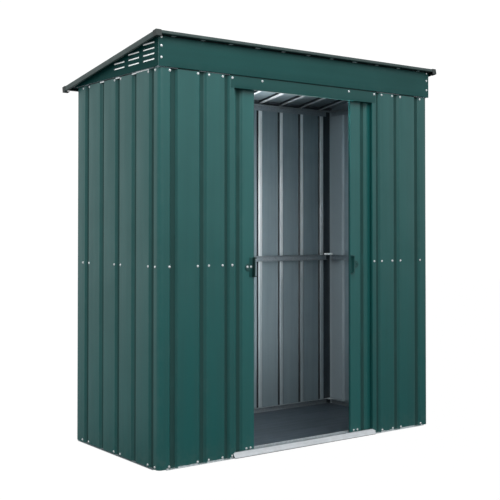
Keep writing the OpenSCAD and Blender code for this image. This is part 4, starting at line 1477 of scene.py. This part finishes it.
@dataclass
class Studio:
    """Camera, pale floor, world light and soft boxes."""

    eye: Triple = (-3.142, -4.181, 1.100)
    tilt: float = 90.9515
    turn: float = -36.615
    lens: float = 68.58
    shift: float = -0.0728
    floor_half: float = 14.0
    floor_sink: float = 0.0005

    def build(self) -> None:
        """Builds the studio around the shed."""
        self.camera()
        self.floor()
        self.world()
        self.softbox("front_top", (-0.9, -2.4, 3.4), (-0.2, -0.4, 1.4), 1.8, 48.0)
        self.softbox("side_top", (-3.3, 0.2, 3.4), (-0.9, 0.0, 1.4), 1.8, 17.0)
        self.softbox("side_back", (-3.2, 2.6, 0.5), (-0.9, 0.0, 0.3), 2.4, 2.0, 180.0, 0.9)
        self.softbox("doorway", (-0.10, -0.382, 0.85), (-0.08, 1.0, 0.85), 0.42, 2.3, 170.0, 1.5)
        self.softbox("back_wall", (0.0, -0.37, 0.92), (0.13, 0.39, 0.92), 0.36, 2.6, 76.0, 1.3)
        self.softbox("ceiling", (0.15, -0.05, 1.35), (0.15, -0.17, 1.95), 0.36, 7.0, 100.0)

    def camera(self) -> None:
        """Camera at eye height in front of the left corner."""
        data = bpy.data.cameras.new("camera")
        data.lens = self.lens
        data.sensor_width = 36.0
        data.shift_y = self.shift
        camera = bpy.data.objects.new("camera", data)
        camera.location = self.eye
        camera.rotation_euler = (math.radians(self.tilt), 0.0, math.radians(self.turn))
        bpy.context.scene.collection.objects.link(camera)
        bpy.context.scene.camera = camera

    def floor(self) -> None:
        """Pale floor: almost white, with a faint soft shadow; to other rays it is darker, with painted light towards
        the back left.
        """
        half, low = self.floor_half, -self.floor_sink
        mesh = bpy.data.meshes.new("studio_floor")
        mesh.from_pydata([(-half, -half, low), (half, -half, low), (half, half, low), (-half, half, low)],
                         [], [(0, 1, 2, 3)])
        made = bpy.data.materials.new("Studio floor")
        made.use_nodes = True
        tree = made.node_tree
        tree.nodes.clear()
        n = Nodes(tree)
        # Painted light: to all but camera rays the floor is brighter towards the back left.
        way = n.add("VectorMath", {0: n.object_point(), 1: Vector((-0.80, 0.60, 0.0))},
                    operation="DOT_PRODUCT").outputs["Value"]
        tone = n.blend(n.remap(way, 0.1, 1.6), (0.12, 0.125, 0.13, 1), (0.40, 0.41, 0.42, 1))
        matt = n.add("BsdfDiffuse", {"Color": tone})
        glow = n.add("Emission", {"Color": (1, 1, 1, 1), "Strength": 1.08})
        seen = n.math("MULTIPLY", n.add("LightPath").outputs["Is Camera Ray"], 0.92)
        mix = n.add("MixShader", {0: seen, 1: matt.outputs[0], 2: glow.outputs[0]})
        out = n.add("OutputMaterial")
        tree.links.new(mix.outputs[0], out.inputs["Surface"])
        mesh.materials.append(made)
        floor = bpy.data.objects.new("studio_floor", mesh)
        bpy.context.scene.collection.objects.link(floor)

    def world(self) -> None:
        """White backdrop; its light is stronger from behind on the left and from the front on the right."""
        world = bpy.data.worlds.new("studio")
        bpy.context.scene.world = world
        world.use_nodes = True
        tree = world.node_tree
        tree.nodes.clear()
        n = Nodes(tree)
        way = n.add("TexCoord").outputs["Generated"]
        total = None
        for direction, low, high, amount in (((-0.80, 0.60, 0.10), 0.3, 1.0, 0.52),
                                             ((0.50, -0.86, 0.15), 0.4, 1.0, 0.62),
                                             ((-0.65, -0.75, 0.10), 0.7, 1.0, 0.30),
                                             ((0.0, 0.0, 1.0), -0.2, 0.9, 0.45)):
            lobe = n.add("VectorMath", {0: way, 1: Vector(direction).normalized()},
                         operation="DOT_PRODUCT").outputs["Value"]
            part = n.remap(lobe, low, high, 0.0, amount)
            total = part if total is None else n.math("ADD", total, part)
        total = n.math("ADD", total, 0.28)
        seen = n.add("LightPath").outputs["Is Camera Ray"]
        strength = n.add("Mix", {0: seen, 2: total, 3: 1.05}, data_type="FLOAT").outputs[0]
        shade = n.add("Background", {"Color": (1, 1, 1, 1), "Strength": strength})
        out = n.add("OutputWorld")
        tree.links.new(shade.outputs[0], out.inputs["Surface"])

    @staticmethod
    def softbox(name: str, place: Triple, target: Triple, size: float, power: float, spread: float = 180.0,
                height: float = 0.0) -> None:
        """Square soft box at a place, turned to its target.

        Args:
            name: name of the light.
            place: where it stands.
            target: point that it faces.
            size: its width.
            power: its power in watts.
            spread: angle of its beam in degrees.
            height: its height, or 0 for a square.
        """
        data = bpy.data.lights.new(name, "AREA")
        data.shape = "RECTANGLE"
        data.size = size
        data.size_y = height or size
        data.energy = power
        data.spread = math.radians(spread)
        lamp = bpy.data.objects.new(name, data)
        lamp.visible_camera = False
        lamp.location = place
        lamp.rotation_euler = (Vector(target) - Vector(place)).to_track_quat("-Z", "Y").to_euler()
        bpy.context.scene.collection.objects.link(lamp)


def main() -> None:
    """Builds the studio and the shed, part by part."""
    logging.basicConfig(level=logging.INFO, format="%(name)s: %(message)s")
    bpy.context.scene.view_settings.view_transform = "Standard"
    Studio().build()
    plan = Plan()
    Walls(plan).build()
    roof = Roof(plan)
    roof.build()
    Rails(plan).build()
    for hand in Hand:
        Door(plan, hand).build()
    Screws(plan, roof).build()


if __name__ == "__main__":
    main()
